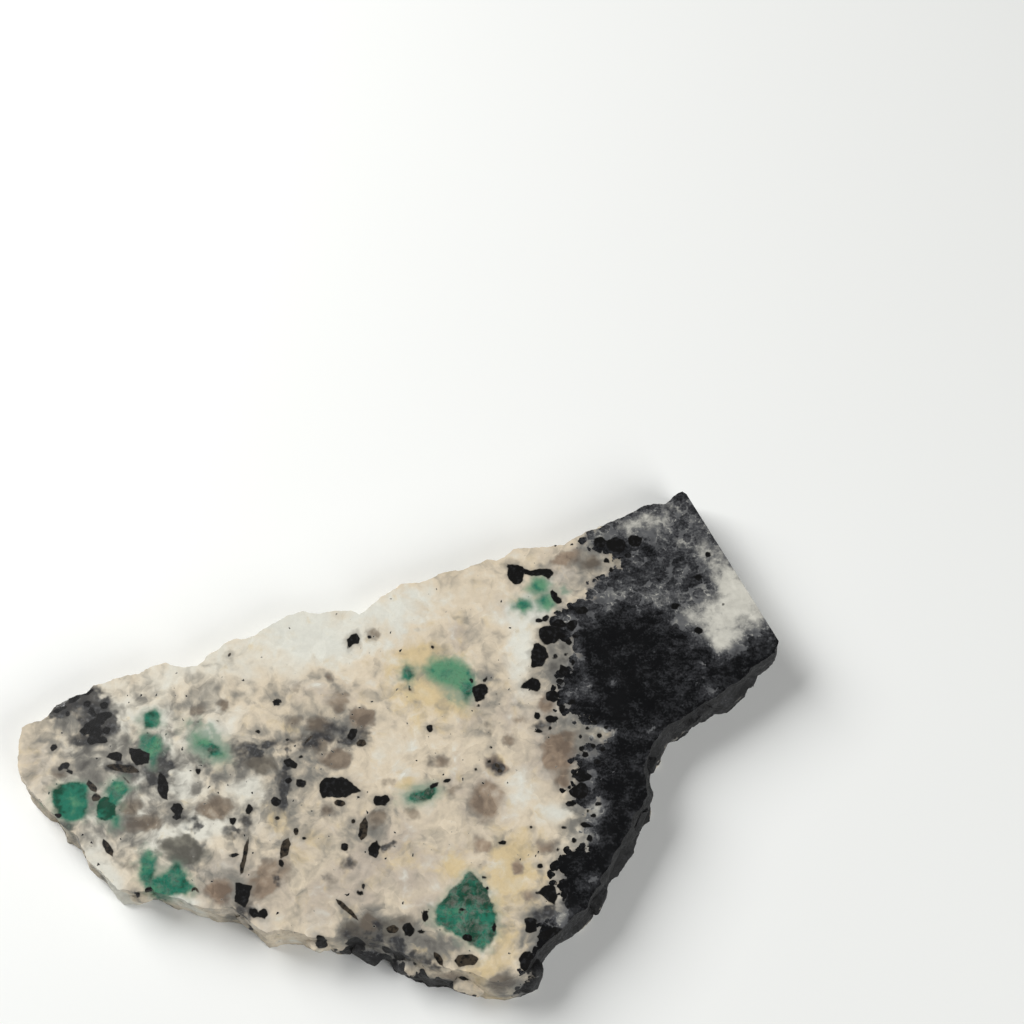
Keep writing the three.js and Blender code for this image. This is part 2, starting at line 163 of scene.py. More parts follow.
# Black grains: (x, y, length, width, heading).
BLACK_GRAINS = [
    (-21.0, -0.85, 0.5, 0.4, 40), (-20.35, -2.05, 0.7, 0.4, 25), (-19.95, -2.4, 0.4, 0.25, -20),
    (-20.9, 1.55, 0.9, 0.35, 30), (-20.1, 2.15, 0.9, 0.4, 28), (-19.25, 2.65, 0.8, 0.35, 20),
    (-20.35, 1.25, 0.3, 0.3, 0), (-17.9, 0.2, 0.5, 0.35, 60), (-18.9, 1.3, 0.6, 0.6, 0),
    (-18.2, 1.75, 0.45, 0.4, 0), (-18.1, 1.15, 0.9, 0.6, 0), (-18.8, 0.4, 1.5, 0.8, 35),
    (-18.15, -0.4, 0.7, 0.45, 0), (-18.6, -0.05, 1.3, 0.8, 70), (-18.4, 0.75, 0.7, 0.5, 0),
    (-19.3, 1.9, 0.6, 0.4, 20), (-17.2, -1.45, 1.05, 0.65, 10), (-14.25, -3.3, 1.65, 0.75, -75),
    (-13.25, -4.7, 0.8, 0.75, 0), (-13.3, -5.15, 0.5, 0.4, 0), (-12.15, -2.35, 0.35, 0.35, 0),
    (-20.45, -5.1, 0.35, 0.2, 0), (-12.3, 0.75, 0.2, 0.2, 0), (-11.15, 0.8, 0.3, 0.2, 0),
    (-15.35, 0.05, 0.15, 0.15, 0), (-15.45, -9.95, 0.5, 0.45, 0), (-15.15, -10.2, 0.35, 0.3, 0),
    (-14.65, -9.65, 0.55, 0.45, 20), (-14.6, -10.0, 0.5, 0.4, 0), (-11.3, -10.95, 0.95, 0.17, 18),
    (-12.2, -10.8, 0.4, 0.25, 0), (-7.6, 2.05, 0.65, 0.16, 10), (-7.6, 2.05, 0.5, 0.14, 70),
    (-7.6, 2.05, 0.5, 0.13, 130), (-8.65, 0.17, 0.2, 0.2, 0), (-10.2, -2.6, 0.12, 0.12, 0),
    (-9.6, -3.05, 0.12, 0.12, 0), (-6.85, -0.4, 0.2, 0.2, 0), (-6.6, -1.75, 0.8, 0.5, 0),
    (-6.05, -1.5, 0.5, 0.2, 20), (-6.3, -2.0, 0.5, 0.5, 0), (-6.65, -2.95, 0.45, 0.3, 0),
    (-5.85, -3.1, 0.7, 0.5, 0), (-7.3, -4.25, 0.6, 0.55, -40), (-8.95, -4.75, 0.8, 0.5, 80),
    (-9.85, -5.45, 0.5, 0.45, 30), (-1.0, -4.2, 1.0, 0.75, 15), (-2.85, -0.05, 0.85, 0.5, 50),
    (-5.5, -6.5, 0.3, 0.1, 0), (-9.65, -7.5, 0.7, 0.3, 0), (-6.85, -8.0, 0.35, 0.35, 0),
    (-8.4, -11.0, 0.5, 0.65, 0), (-7.8, -11.0, 0.55, 0.6, 30), (-8.9, -11.45, 0.4, 0.2, 0),
    (-9.7, -11.0, 0.25, 0.25, 0), (-3.1, -7.05, 0.4, 0.45, 0), (-1.3, -7.15, 0.6, 1.0, 0),
    (-2.1, -9.85, 0.5, 0.45, 0), (-1.9, -9.4, 0.12, 0.3, 0), (-2.2, -6.25, 0.15, 0.15, 0),
    (2.0, 5.55, 0.2, 0.2, 0), (5.3, 3.4, 0.4, 0.16, 60), (4.4, 3.4, 0.25, 0.2, 0),
    (4.9, 1.75, 0.25, 0.35, 0), (6.0, 2.5, 0.15, 0.15, 0), (0.6, 2.8, 0.2, 0.2, 0),
    (1.9, 0.35, 0.4, 0.55, 0), (5.7, -0.9, 0.2, 0.2, 0), (4.75, -2.25, 0.15, 0.15, 0),
    (3.0, -2.95, 0.45, 0.2, 15), (2.25, -3.2, 0.6, 0.3, 35), (9.5, 2.4, 0.75, 0.85, 0),
    (10.15, 4.05, 0.7, 0.8, 0), (9.65, 5.0, 0.3, 0.4, 0), (9.8, 5.55, 0.2, 0.2, 0),
    (10.0, 1.6, 0.45, 0.55, 0), (9.45, 0.95, 0.8, 0.5, 0), (8.5, 1.1, 0.35, 0.5, 0),
    (8.55, 0.15, 0.6, 0.25, 0), (9.95, 3.3, 0.5, 0.4, 0), (11.15, -0.25, 0.25, 0.25, 0),
    (11.45, -1.35, 0.4, 0.4, 0), (11.2, -1.8, 0.3, 0.3, 0), (11.3, -2.65, 1.1, 0.7, 0),
    (10.75, -2.6, 0.3, 0.3, 0), (11.1, -3.55, 1.2, 0.95, 0), (10.5, -4.35, 0.6, 0.35, 0),
    (6.35, -6.75, 0.55, 0.3, 10), (8.1, -5.8, 0.15, 0.15, 0), (10.1, -5.85, 0.3, 0.15, 0),
    (10.65, -6.6, 0.35, 0.3, 0), (9.7, -7.2, 0.35, 0.25, 60), (8.6, -8.2, 0.3, 0.2, 30),
    (9.35, -8.25, 0.55, 0.25, 65), (5.3, -8.85, 0.3, 0.15, 0), (5.5, -9.5, 0.2, 0.2, 0),
    (8.1, -11.65, 0.85, 0.95, 0), (7.9, -13.8, 1.0, 1.35, 0), (9.2, -12.2, 1.4, 0.6, 20),
    (0.85, -11.95, 0.65, 0.75, 0), (1.65, -12.1, 0.4, 0.2, 0), (1.75, -11.2, 0.35, 0.8, 0),
    (1.95, -10.85, 0.3, 0.14, 45), (4.0, -10.85, 0.55, 0.3, 0), (4.3, -12.45, 0.6, 0.35, 0),
    (5.9, -11.8, 0.3, 0.45, 0), (4.15, -11.95, 0.15, 0.15, 0), (9.6, 9.0, 0.35, 0.9, 20),
    (9.9, 8.6, 0.4, 0.6, 0), (9.05, 7.5, 0.5, 0.5, 0), (8.65, 7.3, 0.45, 0.3, 0), (9.9, 7.1, 0.8, 0.6, 0),
    (10.7, 7.0, 0.6, 0.7, 0), (11.3, 8.0, 0.8, 0.5, 0), (14.8, 12.7, 1.0, 0.8, 0),
    (12.9, 11.3, 0.4, 0.4, 0), (13.2, 10.7, 0.3, 0.3, 0), (14.3, 11.7, 0.5, 0.5, 0),
    (19.35, 11.7, 0.35, 0.35, 0), (17.2, 8.3, 0.45, 0.45, 0), (18.6, 6.7, 0.5, 0.5, 0),
    (20.25, 8.4, 0.15, 0.15, 0), (18.7, 10.2, 0.4, 0.4, 0), (-2.0, 6.25, 0.25, 0.25, 0),
    (9.3, 0.3, 0.4, 0.3, 30), (12.0, 0.7, 0.3, 0.3, 0), (12.3, -0.15, 0.4, 0.35, 0),
    (11.6, 0.35, 0.25, 0.2, 0), (12.7, 0.45, 0.3, 0.2, 0), (11.9, -0.75, 0.35, 0.3, 0),
    (12.45, -0.95, 0.4, 0.3, 0), (11.2, -0.95, 0.3, 0.3, 0), (12.2, -1.75, 0.5, 0.4, 0),
    (10.6, 2.0, 0.4, 0.3, 20), (10.75, 4.6, 0.35, 0.4, 0), (10.5, 5.9, 0.3, 0.4, 0),
    (10.9, 6.3, 0.5, 0.4, 0), (10.3, 5.1, 0.3, 0.3, 0), (10.0, 6.3, 0.5, 0.35, 0),
    (8.9, -6.6, 0.12, 0.12, 0), (11.4, -5.7, 1.1, 0.3, -8), (12.2, -4.4, 0.35, 0.3, 0),
    (11.5, -4.8, 0.22, 0.2, 0), (11.6, -6.5, 0.45, 0.4, 0), (10.9, -5.4, 0.18, 0.15, 0),
    (11.9, -5.1, 0.3, 0.25, 0),
]

# Grains bared by the break along the rim, at a depth under the show face: the same, then the depth.
RIM_GRAINS = [
    (-2.3, -12.6, 1.2, 0.9, 0, 1.0), (-0.45, -12.95, 0.7, 0.6, 0, 0.9), (0.35, -13.3, 0.8, 0.7, 0, 1.1),
    (1.1, -13.9, 0.6, 0.6, 0, 1.3), (1.9, -14.3, 1.0, 0.8, 0, 2.2), (3.0, -14.5, 1.6, 0.9, 0, 2.3),
    (4.0, -14.6, 1.1, 0.8, 0, 1.6), (-1.2, -12.9, 0.7, 0.6, 0, 2.2), (-15.3, -9.9, 0.7, 0.5, 0, 1.4),
    (-8.6, -11.5, 0.6, 0.5, 0, 1.8), (8.2, -14.5, 1.2, 0.9, 0, 1.6), (-20.3, 1.9, 1.0, 0.9, 0, 1.6),
]

# Brown mica blades and lenses, seen edge on: (x, y, length, width, heading).
MICA_BLADES = [
    (-16.7, -2.2, 2.3, 0.48, -9), (-18.55, -3.3, 1.0, 0.4, -55), (-18.25, -4.0, 0.6, 0.5, 0),
    (-17.3, -7.1, 1.35, 0.45, -60), (-16.45, -2.95, 0.7, 0.1, -45), (-10.65, 5.05, 0.4, 0.2, 60),
    (-15.8, -9.8, 0.35, 0.25, 0), (-3.5, -4.35, 0.8, 0.4, -15), (-2.25, -0.6, 0.65, 0.5, -15),
    (-5.5, -0.35, 0.8, 0.15, 50), (-2.0, -5.9, 1.55, 0.55, 85), (-2.6, -5.45, 0.25, 0.25, 0),
    (-6.05, -6.1, 0.35, 0.45, 0), (-6.65, -7.1, 1.35, 0.6, 70), (-9.1, -7.7, 2.6, 0.3, 80),
    (-2.8, -10.8, 2.0, 0.3, -42), (-0.15, -11.95, 0.8, 0.5, 0), (4.3, -13.75, 1.5, 0.7, 5),
    (2.65, -13.7, 1.1, 0.35, -60), (-12.05, -9.6, 0.4, 0.1, 50), (-11.8, -9.6, 0.4, 0.1, -50),
    (5.1, -8.05, 0.3, 0.1, 45), (-7.2, -5.25, 0.35, 0.3, 0), (-18.3, -7.0, 0.4, 0.1, 20),
    (6.05, -2.0, 0.35, 0.2, -55), (5.6, -1.75, 0.3, 0.2, 30), (6.2, -2.35, 0.3, 0.2, 10),
]

# Grains that lie just under the surface and show grey and soft: (x, y, length, width, heading).
VEILED_GRAINS = [
    (-19.55, -0.45, 0.4, 0.35, 0), (-15.1, -2.65, 2.6, 0.9, -30), (-14.5, -1.7, 2.2, 1.2, -70),
    (-12.7, -5.4, 0.7, 0.3, -45), (-12.1, -5.7, 0.6, 0.6, 0), (-12.0, -1.85, 0.9, 0.3, 75),
    (-8.4, -0.72, 3.2, 0.42, 11), (-8.9, -1.25, 1.6, 0.4, 11), (-9.85, -1.95, 0.35, 0.35, 0),
    (-6.85, -3.0, 4.4, 0.55, 89), (-3.85, 0.15, 0.6, 0.4, 0), (5.55, 0.3, 0.25, 0.25, 0),
    (2.05, -1.75, 0.3, 0.3, 0), (6.0, -2.05, 0.9, 0.6, -35), (8.9, -11.3, 1.8, 1.0, 30),
    (8.8, 0.5, 0.8, 0.5, 0), (-7.0, -8.85, 0.45, 0.5, 0), (-3.95, -8.85, 0.45, 0.3, 0),
    (-4.35, -8.9, 0.2, 0.2, 0), (-2.8, -7.9, 0.5, 0.9, 0), (-0.35, -7.0, 0.7, 0.3, 30),
    (-2.7, -0.35, 1.6, 0.5, 20), (-9.0, -5.4, 1.2, 0.7, 70), (-8.8, -10.9, 1.3, 0.7, 0),
    (-19.9, -5.7, 0.7, 0.4, 0), (-10.0, -6.1, 1.0, 0.6, 30), (-1.6, -12.85, 1.6, 0.6, -8),
    (0.3, -13.25, 1.7, 0.6, -12), (2.2, -14.0, 1.2, 0.5, -25), (-9.9, -0.95, 1.0, 0.25, 20),
    (-4.6, -0.2, 1.6, 0.5, 5), (-3.9, 0.2, 1.3, 0.6, -10), (-5.4, -0.6, 1.2, 0.6, 10),
    (-6.0, -0.4, 1.8, 0.35, 15), (-20.4, 1.9, 2.6, 1.5, 38), (-19.2, 2.2, 1.9, 1.6, 30),
    (-18.4, 0.9, 2.2, 2.4, 20), (-18.9, -0.3, 2.2, 1.0, 0), (-16.4, -2.15, 2.6, 0.7, -9),
    (-2.6, -12.2, 0.8, 0.5, 0), (-1.2, -12.3, 0.9, 0.4, -10), (0.1, -12.6, 0.7, 0.4, -10),
    (1.5, -13.6, 0.8, 0.4, -20), (-0.9, -11.7, 0.5, 0.3, 20),
]

# Translucent quartz: (x, y, length, width, heading, tone from 0, grey, to 1, brown).
QUARTZ_EYES = [
    (-12.9, -7.25, 3.2, 1.7, -10, 0.0), (-15.8, -8.2, 1.0, 0.7, 20, 0.2), (-10.9, -4.7, 2.0, 1.4, 0, 0.6),
    (-16.1, -4.6, 1.3, 1.0, 0, 0.4), (-20.6, -2.6, 0.9, 0.5, 0, 0.5), (-10.8, 1.8, 0.7, 0.6, 0, 0.5),
    (-3.7, 2.0, 1.4, 1.2, 0, 0.6), (-2.3, 1.0, 1.6, 1.4, 0, 0.7), (-4.9, 0.6, 1.3, 1.2, 0, 0.5),
    (-4.9, -0.6, 1.8, 1.2, 0, 0.4), (-3.7, -1.6, 2.0, 1.5, 0, 0.6), (-4.2, -4.8, 0.8, 0.7, 0, 0.5),
    (-1.3, -5.3, 1.3, 0.9, 20, 0.5), (-8.3, -1.9, 2.0, 1.2, 0, 0.2), (-4.3, 3.65, 0.7, 0.3, 0, 0.6),
    (-1.8, 6.5, 1.1, 1.0, 0, 0.4), (9.9, -1.2, 2.1, 2.3, 0, 0.9), (10.1, -2.8, 1.0, 1.5, 0, 0.8),
    (5.5, -4.2, 2.3, 2.4, 0, 0.8), (5.1, -6.9, 1.4, 1.1, 0, 0.9), (9.1, 1.9, 1.0, 1.2, 0, 0.8),
    (3.3, -3.5, 0.8, 0.7, 0, 0.5), (2.6, -1.8, 1.4, 0.7, 0, 0.6), (8.9, -7.0, 1.3, 1.0, 0, 0.8),
    (7.3, -8.2, 0.8, 0.8, 0, 0.9), (5.95, -2.0, 1.4, 0.9, -35, 1.0), (9.2, -6.8, 0.6, 0.4, 0, 0.7),
    (-10.5, -9.7, 1.6, 1.4, 0, 1.0), (-2.5, -12.1, 1.3, 1.4, 0, 0.2), (-1.5, -11.6, 1.3, 1.1, 0, 0.4),
    (-0.3, -11.9, 1.3, 1.2, 0, 0.1), (0.6, -11.5, 1.1, 1.0, 0, 0.3), (-1.4, -12.6, 1.2, 0.8, 0, 0.1),
    (-7.2, -8.4, 2.2, 1.6, 0, 0.7), (-8.0, -9.4, 2.0, 1.4, 30, 0.8), (-15.2, -5.6, 2.0, 0.9, 10, 0.5),
    (-12.4, 1.5, 0.7, 0.6, 0, 0.4), (-6.3, 3.0, 0.9, 0.6, 20, 0.5), (0.9, -5.0, 1.0, 0.8, 0, 0.5),
    (-0.5, -3.1, 1.0, 0.6, 0, 0.4), (6.7, -0.4, 1.0, 0.7, 0, 0.6), (7.4, 0.9, 0.8, 0.6, 0, 0.6),
    (6.4, -15.1, 1.9, 1.5, 10, 0.3), (10.3, 11.5, 1.7, 0.9, 20, 0.8), (12.0, 11.1, 1.3, 0.8, 30, 0.4),
    (10.4, -0.2, 0.9, 0.8, 0, 0.7), (-6.5, 0.8, 1.1, 0.7, 0, 0.4), (7.9, -9.9, 0.9, 0.7, 0, 0.8),
]

# Soft fields of colour in the pale rock: (x, y, length, width, heading, weight).
WHITE_CLOUDS = [
    (-15.5, -2.0, 14.0, 16.0, 0, 0.5), (10.2, 4.2, 2.6, 6.6, 0, 0.2), (11.7, -0.3, 3.0, 3.0, 0, 0.2),
    (10.9, -6.4, 2.4, 3.4, 0, 0.5), (11.0, 10.2, 4.0, 2.6, 20, 0.28), (9.9, -10.6, 2.0, 2.4, 0, 0.4),
    (-5.2, 6.4, 8.4, 4.6, 12, 0.95), (1.2, 8.6, 6.0, 2.6, 15, 0.35), (7.6, 5.2, 2.2, 7.0, 0, 0.6),
    (-12.0, 4.4, 6.0, 2.0, 18, 0.4), (-12.4, -6.2, 4.0, 1.4, 15, 0.9), (-13.2, -2.6, 1.6, 3.0, 0, 0.35),
    (7.5, -3.8, 4.0, 3.6, 0, 0.4), (-17.6, -8.6, 2.6, 2.0, -40, 0.7), (-5.6, -11.4, 5.0, 1.6, -5, 0.25),
    (6.9, -9.2, 2.6, 4.2, 0, 0.35), (0.2, -0.8, 4.0, 2.6, 20, 0.35), (-9.0, -3.6, 3.0, 2.0, 0, 0.6),
    (8.6, 7.9, 1.6, 1.4, 0, 0.6), (-15.7, -2.7, 1.4, 0.5, 40, 0.8), (9.5, -4.9, 2.6, 1.2, 10, 0.6),
    (-13.0, -10.2, 2.4, 0.6, -10, 0.8),
]
STAINS = [
    (1.7, 3.2, 4.4, 4.4, 0, 0.85), (1.0, 4.9, 2.6, 1.2, 20, 0.6), (3.2, 2.1, 2.6, 1.2, -20, 0.7),
    (6.9, -9.0, 4.2, 5.6, 0, 0.62), (6.0, -2.0, 1.5, 1.2, -35, 0.7), (3.4, -8.2, 1.6, 1.8, 0, 0.7),
    (1.8, -12.8, 1.5, 1.4, 0, 0.95), (5.4, -14.3, 2.2, 1.8, 0, 0.6), (0.5, -3.1, 1.2, 0.7, 20, 0.6),
    (-6.6, 0.3, 1.3, 0.9, 0, 0.5), (-7.3, -5.4, 1.8, 1.6, 0, 0.5), (7.2, -7.2, 3.0, 1.6, 0, 0.35),
    (6.6, -12.4, 1.6, 1.8, 0, 0.5), (-5.8, -7.0, 3.0, 2.6, 0, 0.3), (2.8, -13.6, 1.4, 1.4, 0, 0.5),
    (-2.7, -11.2, 0.9, 0.7, 0, 0.5), (-22.4, -1.2, 2.4, 3.0, 0, 0.25), (0.3, -7.6, 2.4, 1.6, 0, 0.4),
    (13.5, 11.5, 0.8, 0.7, 0, 0.8), (-9.0, 5.6, 1.2, 0.8, 0, 0.3),
]
BLUSH_CLOUDS = [
    (-0.5, -8.4, 10.0, 4.6, 0, 0.65), (6.6, 1.6, 4.0, 6.0, 0, 0.35), (-4.6, -10.8, 10.0, 3.2, 0, 0.45),
    (-1.0, -6.0, 6.0, 3.0, 0, 0.35), (5.2, -4.2, 4.4, 4.4, 0, 0.7), (9.6, -1.2, 3.6, 5.0, 0, 0.8),
    (3.9, 6.4, 2.4, 2.0, 0, 0.5), (-22.0, -1.6, 2.6, 4.0, 0, 0.5), (-9.6, -9.0, 6.0, 3.0, 0, 0.7),
    (11.0, 11.0, 5.0, 3.0, 20, 0.7), (4.2, 0.8, 4.0, 2.4, 20, 0.5), (-4.6, 2.6, 6.0, 2.4, 0, 0.4),
]
SMOKE_CLOUDS = [
    (-15.8, -2.4, 12.0, 11.6, 0, 0.82), (-15.6, -2.0, 4.2, 3.0, -20, 0.6),
    (-11.5, 3.8, 8.0, 4.0, 15, 0.18), (6.6, 2.8, 4.0, 7.0, 0, 0.18), (-12.6, -3.0, 3.0, 3.0, 0, 0.34),
    (1.8, 2.4, 2.6, 1.5, -20, 0.2), (-18.9, -1.2, 5.0, 2.6, 5, 0.45), (-19.4, 1.4, 3.4, 1.4, 20, 0.8),
    (-15.4, -2.4, 2.6, 2.6, 0, 0.55), (-15.6, -5.3, 5.0, 1.8, 5, 0.25), (-9.9, -2.4, 4.4, 2.4, 0, 0.45),
    (-3.6, 0.2, 6.0, 3.0, 10, 0.42), (-6.9, -3.2, 1.6, 4.8, 0, 0.4), (-8.9, -5.6, 2.6, 2.2, 0, 0.35),
    (-9.2, -9.4, 4.4, 2.8, 0, 0.45), (-0.7, -12.6, 5.8, 2.2, -9, 0.95), (5.95, -2.0, 1.3, 0.9, -35, 0.5),
    (-4.0, 0.1, 4.6, 2.2, 10, 0.5), (13.2, 13.2, 3.4, 2.0, 25, 0.95), (-12.9, -7.2, 3.8, 2.0, -5, 0.6),
    (-13.0, 2.4, 7.0, 2.2, 10, 0.12), (-5.6, 3.2, 7.0, 2.0, 0, 0.3), (9.8, -1.6, 2.6, 4.0, 0, 0.22),
    (5.4, -4.2, 2.6, 2.4, 0, 0.25), (9.8, -8.6, 2.2, 4.6, 0, 0.6), (9.0, -11.6, 2.8, 3.0, 0, 0.95),
    (6.6, -15.2, 2.6, 1.6, 10, 0.8), (-10.6, -9.9, 2.2, 1.8, 0, 0.4), (-1.8, -8.9, 2.4, 1.6, 0, 0.25),
    (-16.6, -3.4, 3.0, 1.2, 0, 0.3), (9.3, 6.3, 1.6, 3.6, 0, 0.35), (-2.3, -6.4, 3.0, 2.6, 0, 0.25),
    (11.4, 10.9, 5.0, 3.2, 25, 0.4), (10.5, 4.4, 3.0, 8.4, 0, 0.75), (10.2, 5.0, 1.8, 2.6, 0, 0.6),
    (11.6, 0.0, 3.4, 2.4, 0, 0.95), (10.9, -6.6, 1.6, 3.0, 0, 0.4), (11.4, -5.2, 2.6, 3.6, 0, 0.92),
    (8.3, -12.8, 1.8, 1.8, 0, 0.7), (-13.8, 1.9, 1.6, 1.0, 10, 0.34), (-16.5, 3.1, 1.4, 1.4, 0, 0.3),
    (-11.9, 2.6, 1.4, 0.9, 20, 0.2), (-14.9, 2.9, 0.8, 0.7, 0, 0.3), (-9.3, 3.2, 1.0, 0.8, 0, 0.3),
    (-16.2, -6.6, 1.4, 1.2, 0, 0.4), (-17.6, -6.0, 2.0, 1.2, 40, 0.4), (3.9, 6.4, 1.9, 1.5, 0, 0.34),
    (3.4, -12.9, 2.0, 1.0, -25, 0.5), (-0.8, -11.9, 4.6, 1.8, -6, 0.6), (-12.6, -7.6, 3.4, 2.2, -15, 0.4),
    (-14.5, -2.0, 1.9, 2.6, 0, 0.8), (-12.3, -5.6, 2.0, 1.3, -35, 0.45), (-13.9, -5.2, 2.8, 2.4, 0, 0.45),
    (-18.8, -5.3, 1.8, 1.6, 0, 0.4), (-20.4, 0.5, 2.2, 1.6, 0, 0.4), (-5.6, -2.4, 3.6, 3.8, 0, 0.32),
    (-0.9, -5.0, 2.8, 2.2, 25, 0.5), (5.2, 3.8, 1.8, 1.1, 0, 0.5), (-9.0, -0.6, 4.4, 3.0, 0, 0.3),
    (-7.4, -5.6, 5.0, 4.2, 0, 0.46), (7.6, 2.4, 2.2, 2.0, 0, 0.4), (-15.4, -7.0, 2.2, 1.8, 0, 0.3),
    (-19.3, -7.0, 2.4, 3.4, 40, 0.25), (-17.8, -5.0, 4.2, 3.6, 0, 0.4), (-18.8, -1.6, 4.0, 3.0, 0, 0.45),
    (9.8, 3.4, 1.9, 4.0, 0, 0.8), (-16.3, -1.9, 4.6, 1.6, -14, 0.6), (-8.0, -4.7, 3.6, 1.8, 30, 0.45),
    (-5.6, -4.7, 2.4, 2.0, 0, 0.3), (0.8, -12.5, 3.6, 1.6, -12, 0.6), (-16.4, -4.4, 3.6, 2.4, 0, 0.25),
]

# Dark mica schist: the broad band, then a lens bared along the lower rim: (depth, half depth, corners).
SCHIST_BODIES = [
    (0.0, 12.0, [
        (10.8, 7.9), (11.4, 8.6), (11.8, 9.6), (12.6, 10.3), (13.3, 10.8), (13.9, 11.2), (13.8, 11.9),
        (12.9, 12.1), (11.9, 12.1), (11.4, 12.5), (12.0, 13.1), (13.2, 14.0), (15.6, 15.6), (18.4, 17.0),
        (25.0, 5.5), (22.0, 2.0), (17.0, -1.0), (16.6, -5.0), (13.6, -10.0), (10.2, -14.4), (8.0, -16.2),
        (7.6, -15.3), (8.1, -14.2), (8.1, -13.4), (8.3, -12.6), (8.9, -11.9), (9.5, -11.3), (9.6, -10.6),
        (9.9, -10.0), (9.8, -9.3), (10.1, -8.7), (9.7, -8.2), (9.9, -7.4), (10.3, -7.0), (11.3, -7.0),
        (11.7, -6.5), (11.3, -5.9), (11.7, -5.5), (11.9, -5.0), (11.6, -4.4), (10.9, -4.1), (10.6, -3.5),
        (11.0, -2.5), (11.1, -1.6), (11.3, -0.9), (12.4, -0.6), (12.9, 0.0), (12.4, 0.6), (11.4, 1.1),
        (10.4, 1.4), (10.0, 2.2), (9.9, 3.1), (10.4, 3.6), (10.9, 4.4), (10.9, 5.4), (10.6, 6.1),
        (9.8, 6.4), (9.5, 7.1), (9.7, 7.7)]),
    (2.2, 1.5, [(-3.6, -12.0), (-1.0, -12.4), (1.5, -13.0), (4.0, -13.9), (4.6, -14.8), (4.0, -16.4),
                (0.0, -16.0), (-3.6, -14.6)]),
]

# Pale rock caught in the schist: (x, y, length, width, heading, weight).
SCHIST_HAZE = [
    (20.1, 7.7, 4.2, 3.2, -15, 0.92), (20.3, 6.0, 2.6, 1.7, 0, 0.8), (18.2, 7.6, 3.0, 1.9, 0, 0.38),
    (22.0, 8.3, 3.4, 1.4, -61, 0.72), (20.9, 9.5, 4.2, 2.2, -61, 0.88), (17.0, 8.6, 3.4, 2.8, 0, 0.12),
    (19.9, 10.9, 2.6, 2.0, 0, 0.26), (17.0, 13.8, 6.0, 4.6, -20, 0.48), (17.6, 14.8, 2.0, 1.4, 0, 0.25),
    (19.4, 12.6, 2.0, 3.0, 0, 0.24), (14.4, 13.6, 4.0, 1.6, 25, 0.55), (15.2, 9.8, 7.0, 4.4, 0, 0.35),
    (12.6, 8.6, 3.0, 2.2, 30, 0.4), (12.2, 12.9, 2.0, 1.0, 25, 0.4), (11.7, -3.0, 1.2, 2.2, 0, 0.42),
    (12.2, 0.1, 2.4, 1.2, 0, 0.7), (11.9, -1.3, 1.8, 1.2, 0, 0.5), (11.6, -9.0, 1.4, 1.0, 40, 0.4),
    (12.0, -4.9, 1.7, 1.8, 0, 0.6), (11.6, -6.3, 1.6, 1.2, 0, 0.55), (11.5, 2.9, 1.3, 1.5, 0, 0.38),
    (10.4, 2.3, 1.3, 2.0, 0, 0.34), (10.4, 7.2, 2.4, 1.5, 0, 0.35), (11.0, 5.2, 1.0, 2.2, 0, 0.4),
    (14.5, -5.2, 1.6, 2.2, 40, 0.3), (9.9, -11.2, 1.7, 1.5, 40, 0.6), (19.4, 3.0, 3.6, 2.0, 30, 0.2),
    (17.2, 4.0, 4.0, 3.0, 30, 0.16), (15.6, 0.4, 3.0, 2.4, 0, 0.12), (14.2, -2.0, 2.4, 3.4, 0, 0.04),
]

# Emeralds that only the back and the rim cut: (tone, depth, half depth, x, y, length, width, heading).
HIDDEN_EMERALDS = [
    (0.3, 3.2, 1.3, -6.5, 4.6, 2.2, 1.2, 30), (0.55, 3.0, 1.2, 1.8, -7.6, 1.6, 1.3, 0),
    (0.2, 3.1, 1.2, 7.6, -1.6, 1.9, 1.0, -40), (0.65, 3.2, 1.1, -17.6, 2.2, 1.3, 1.0, 10),
    (0.4, 1.7, 0.9, -11.0, 5.2, 1.5, 1.0, 0), (0.45, 3.1, 1.2, 13.2, 13.6, 1.4, 1.1, 0),
    (0.25, 1.6, 0.8, 3.2, 10.9, 1.5, 0.9, 20), (0.7, 3.2, 1.2, -9.6, -9.4, 2.0, 1.2, 50),
    (0.5, 3.2, 1.2, 20.2, 9.6, 1.5, 1.2, 0), (0.35, 1.5, 0.8, -21.4, -3.6, 1.3, 0.9, 60),
]

HIDDEN_GRAINS = 260             # black grains strewn below the show face
HIDDEN_BLADES = 46              # mica blades strewn below the show face
HIDDEN_EYES = 60                # quartz strewn below the show face
SEED = 1207

# ---- bodies inside the stone ---------------------------------------------------------------

FAR = 1.6                       # distances are kept up to this, in millimetres
GRAIN_BEND = 0.3                # how far a body drifts sideways per millimetre of depth, at most
CLOUD_DRIFT = (0.35, -0.25)     # sideways drift of the colour fields per millimetre of depth
PATCH_FADE = 0.4                # how fast the patches in the emeralds fade with depth
SHALLOWEST = 0.35               # the least half depth of a body, and the least rock over a hidden one
DEPTH_SPREAD = (0.7, 1.3)       # how much deeper or shallower one body goes than its like
SHAPED_DEPTHS = (0.9, 2.0)      # half depths of the large black grains
RIM_HALF_DEPTH = 0.9            # half depth of the grains bared along the rim
HIDDEN_FROM = 1.1               # hidden bodies have their middles from this depth
HIDDEN_PAST = 0.3               # down to this far past the back
HIDDEN_DEPTHS = (0.8, 1.6)      # half depths of the hidden bodies, in lengths
CORNER_COUNT = (5, 8)           # how many corners a grain has
CORNER_SLIP = 0.28              # how far a corner strays from even spacing, in spacings
CORNER_REACH = (0.9, 1.22)      # how far a corner reaches, in half lengths
TIP_SLIP = 0.3                  # how far a blade's tip strays to a side, in half widths
BLADE_FRONT = (0.3, 0.6)        # where a blade's front shoulders sit, in half lengths
BLADE_BACK = (0.3, 0.7)         # where its back shoulders sit
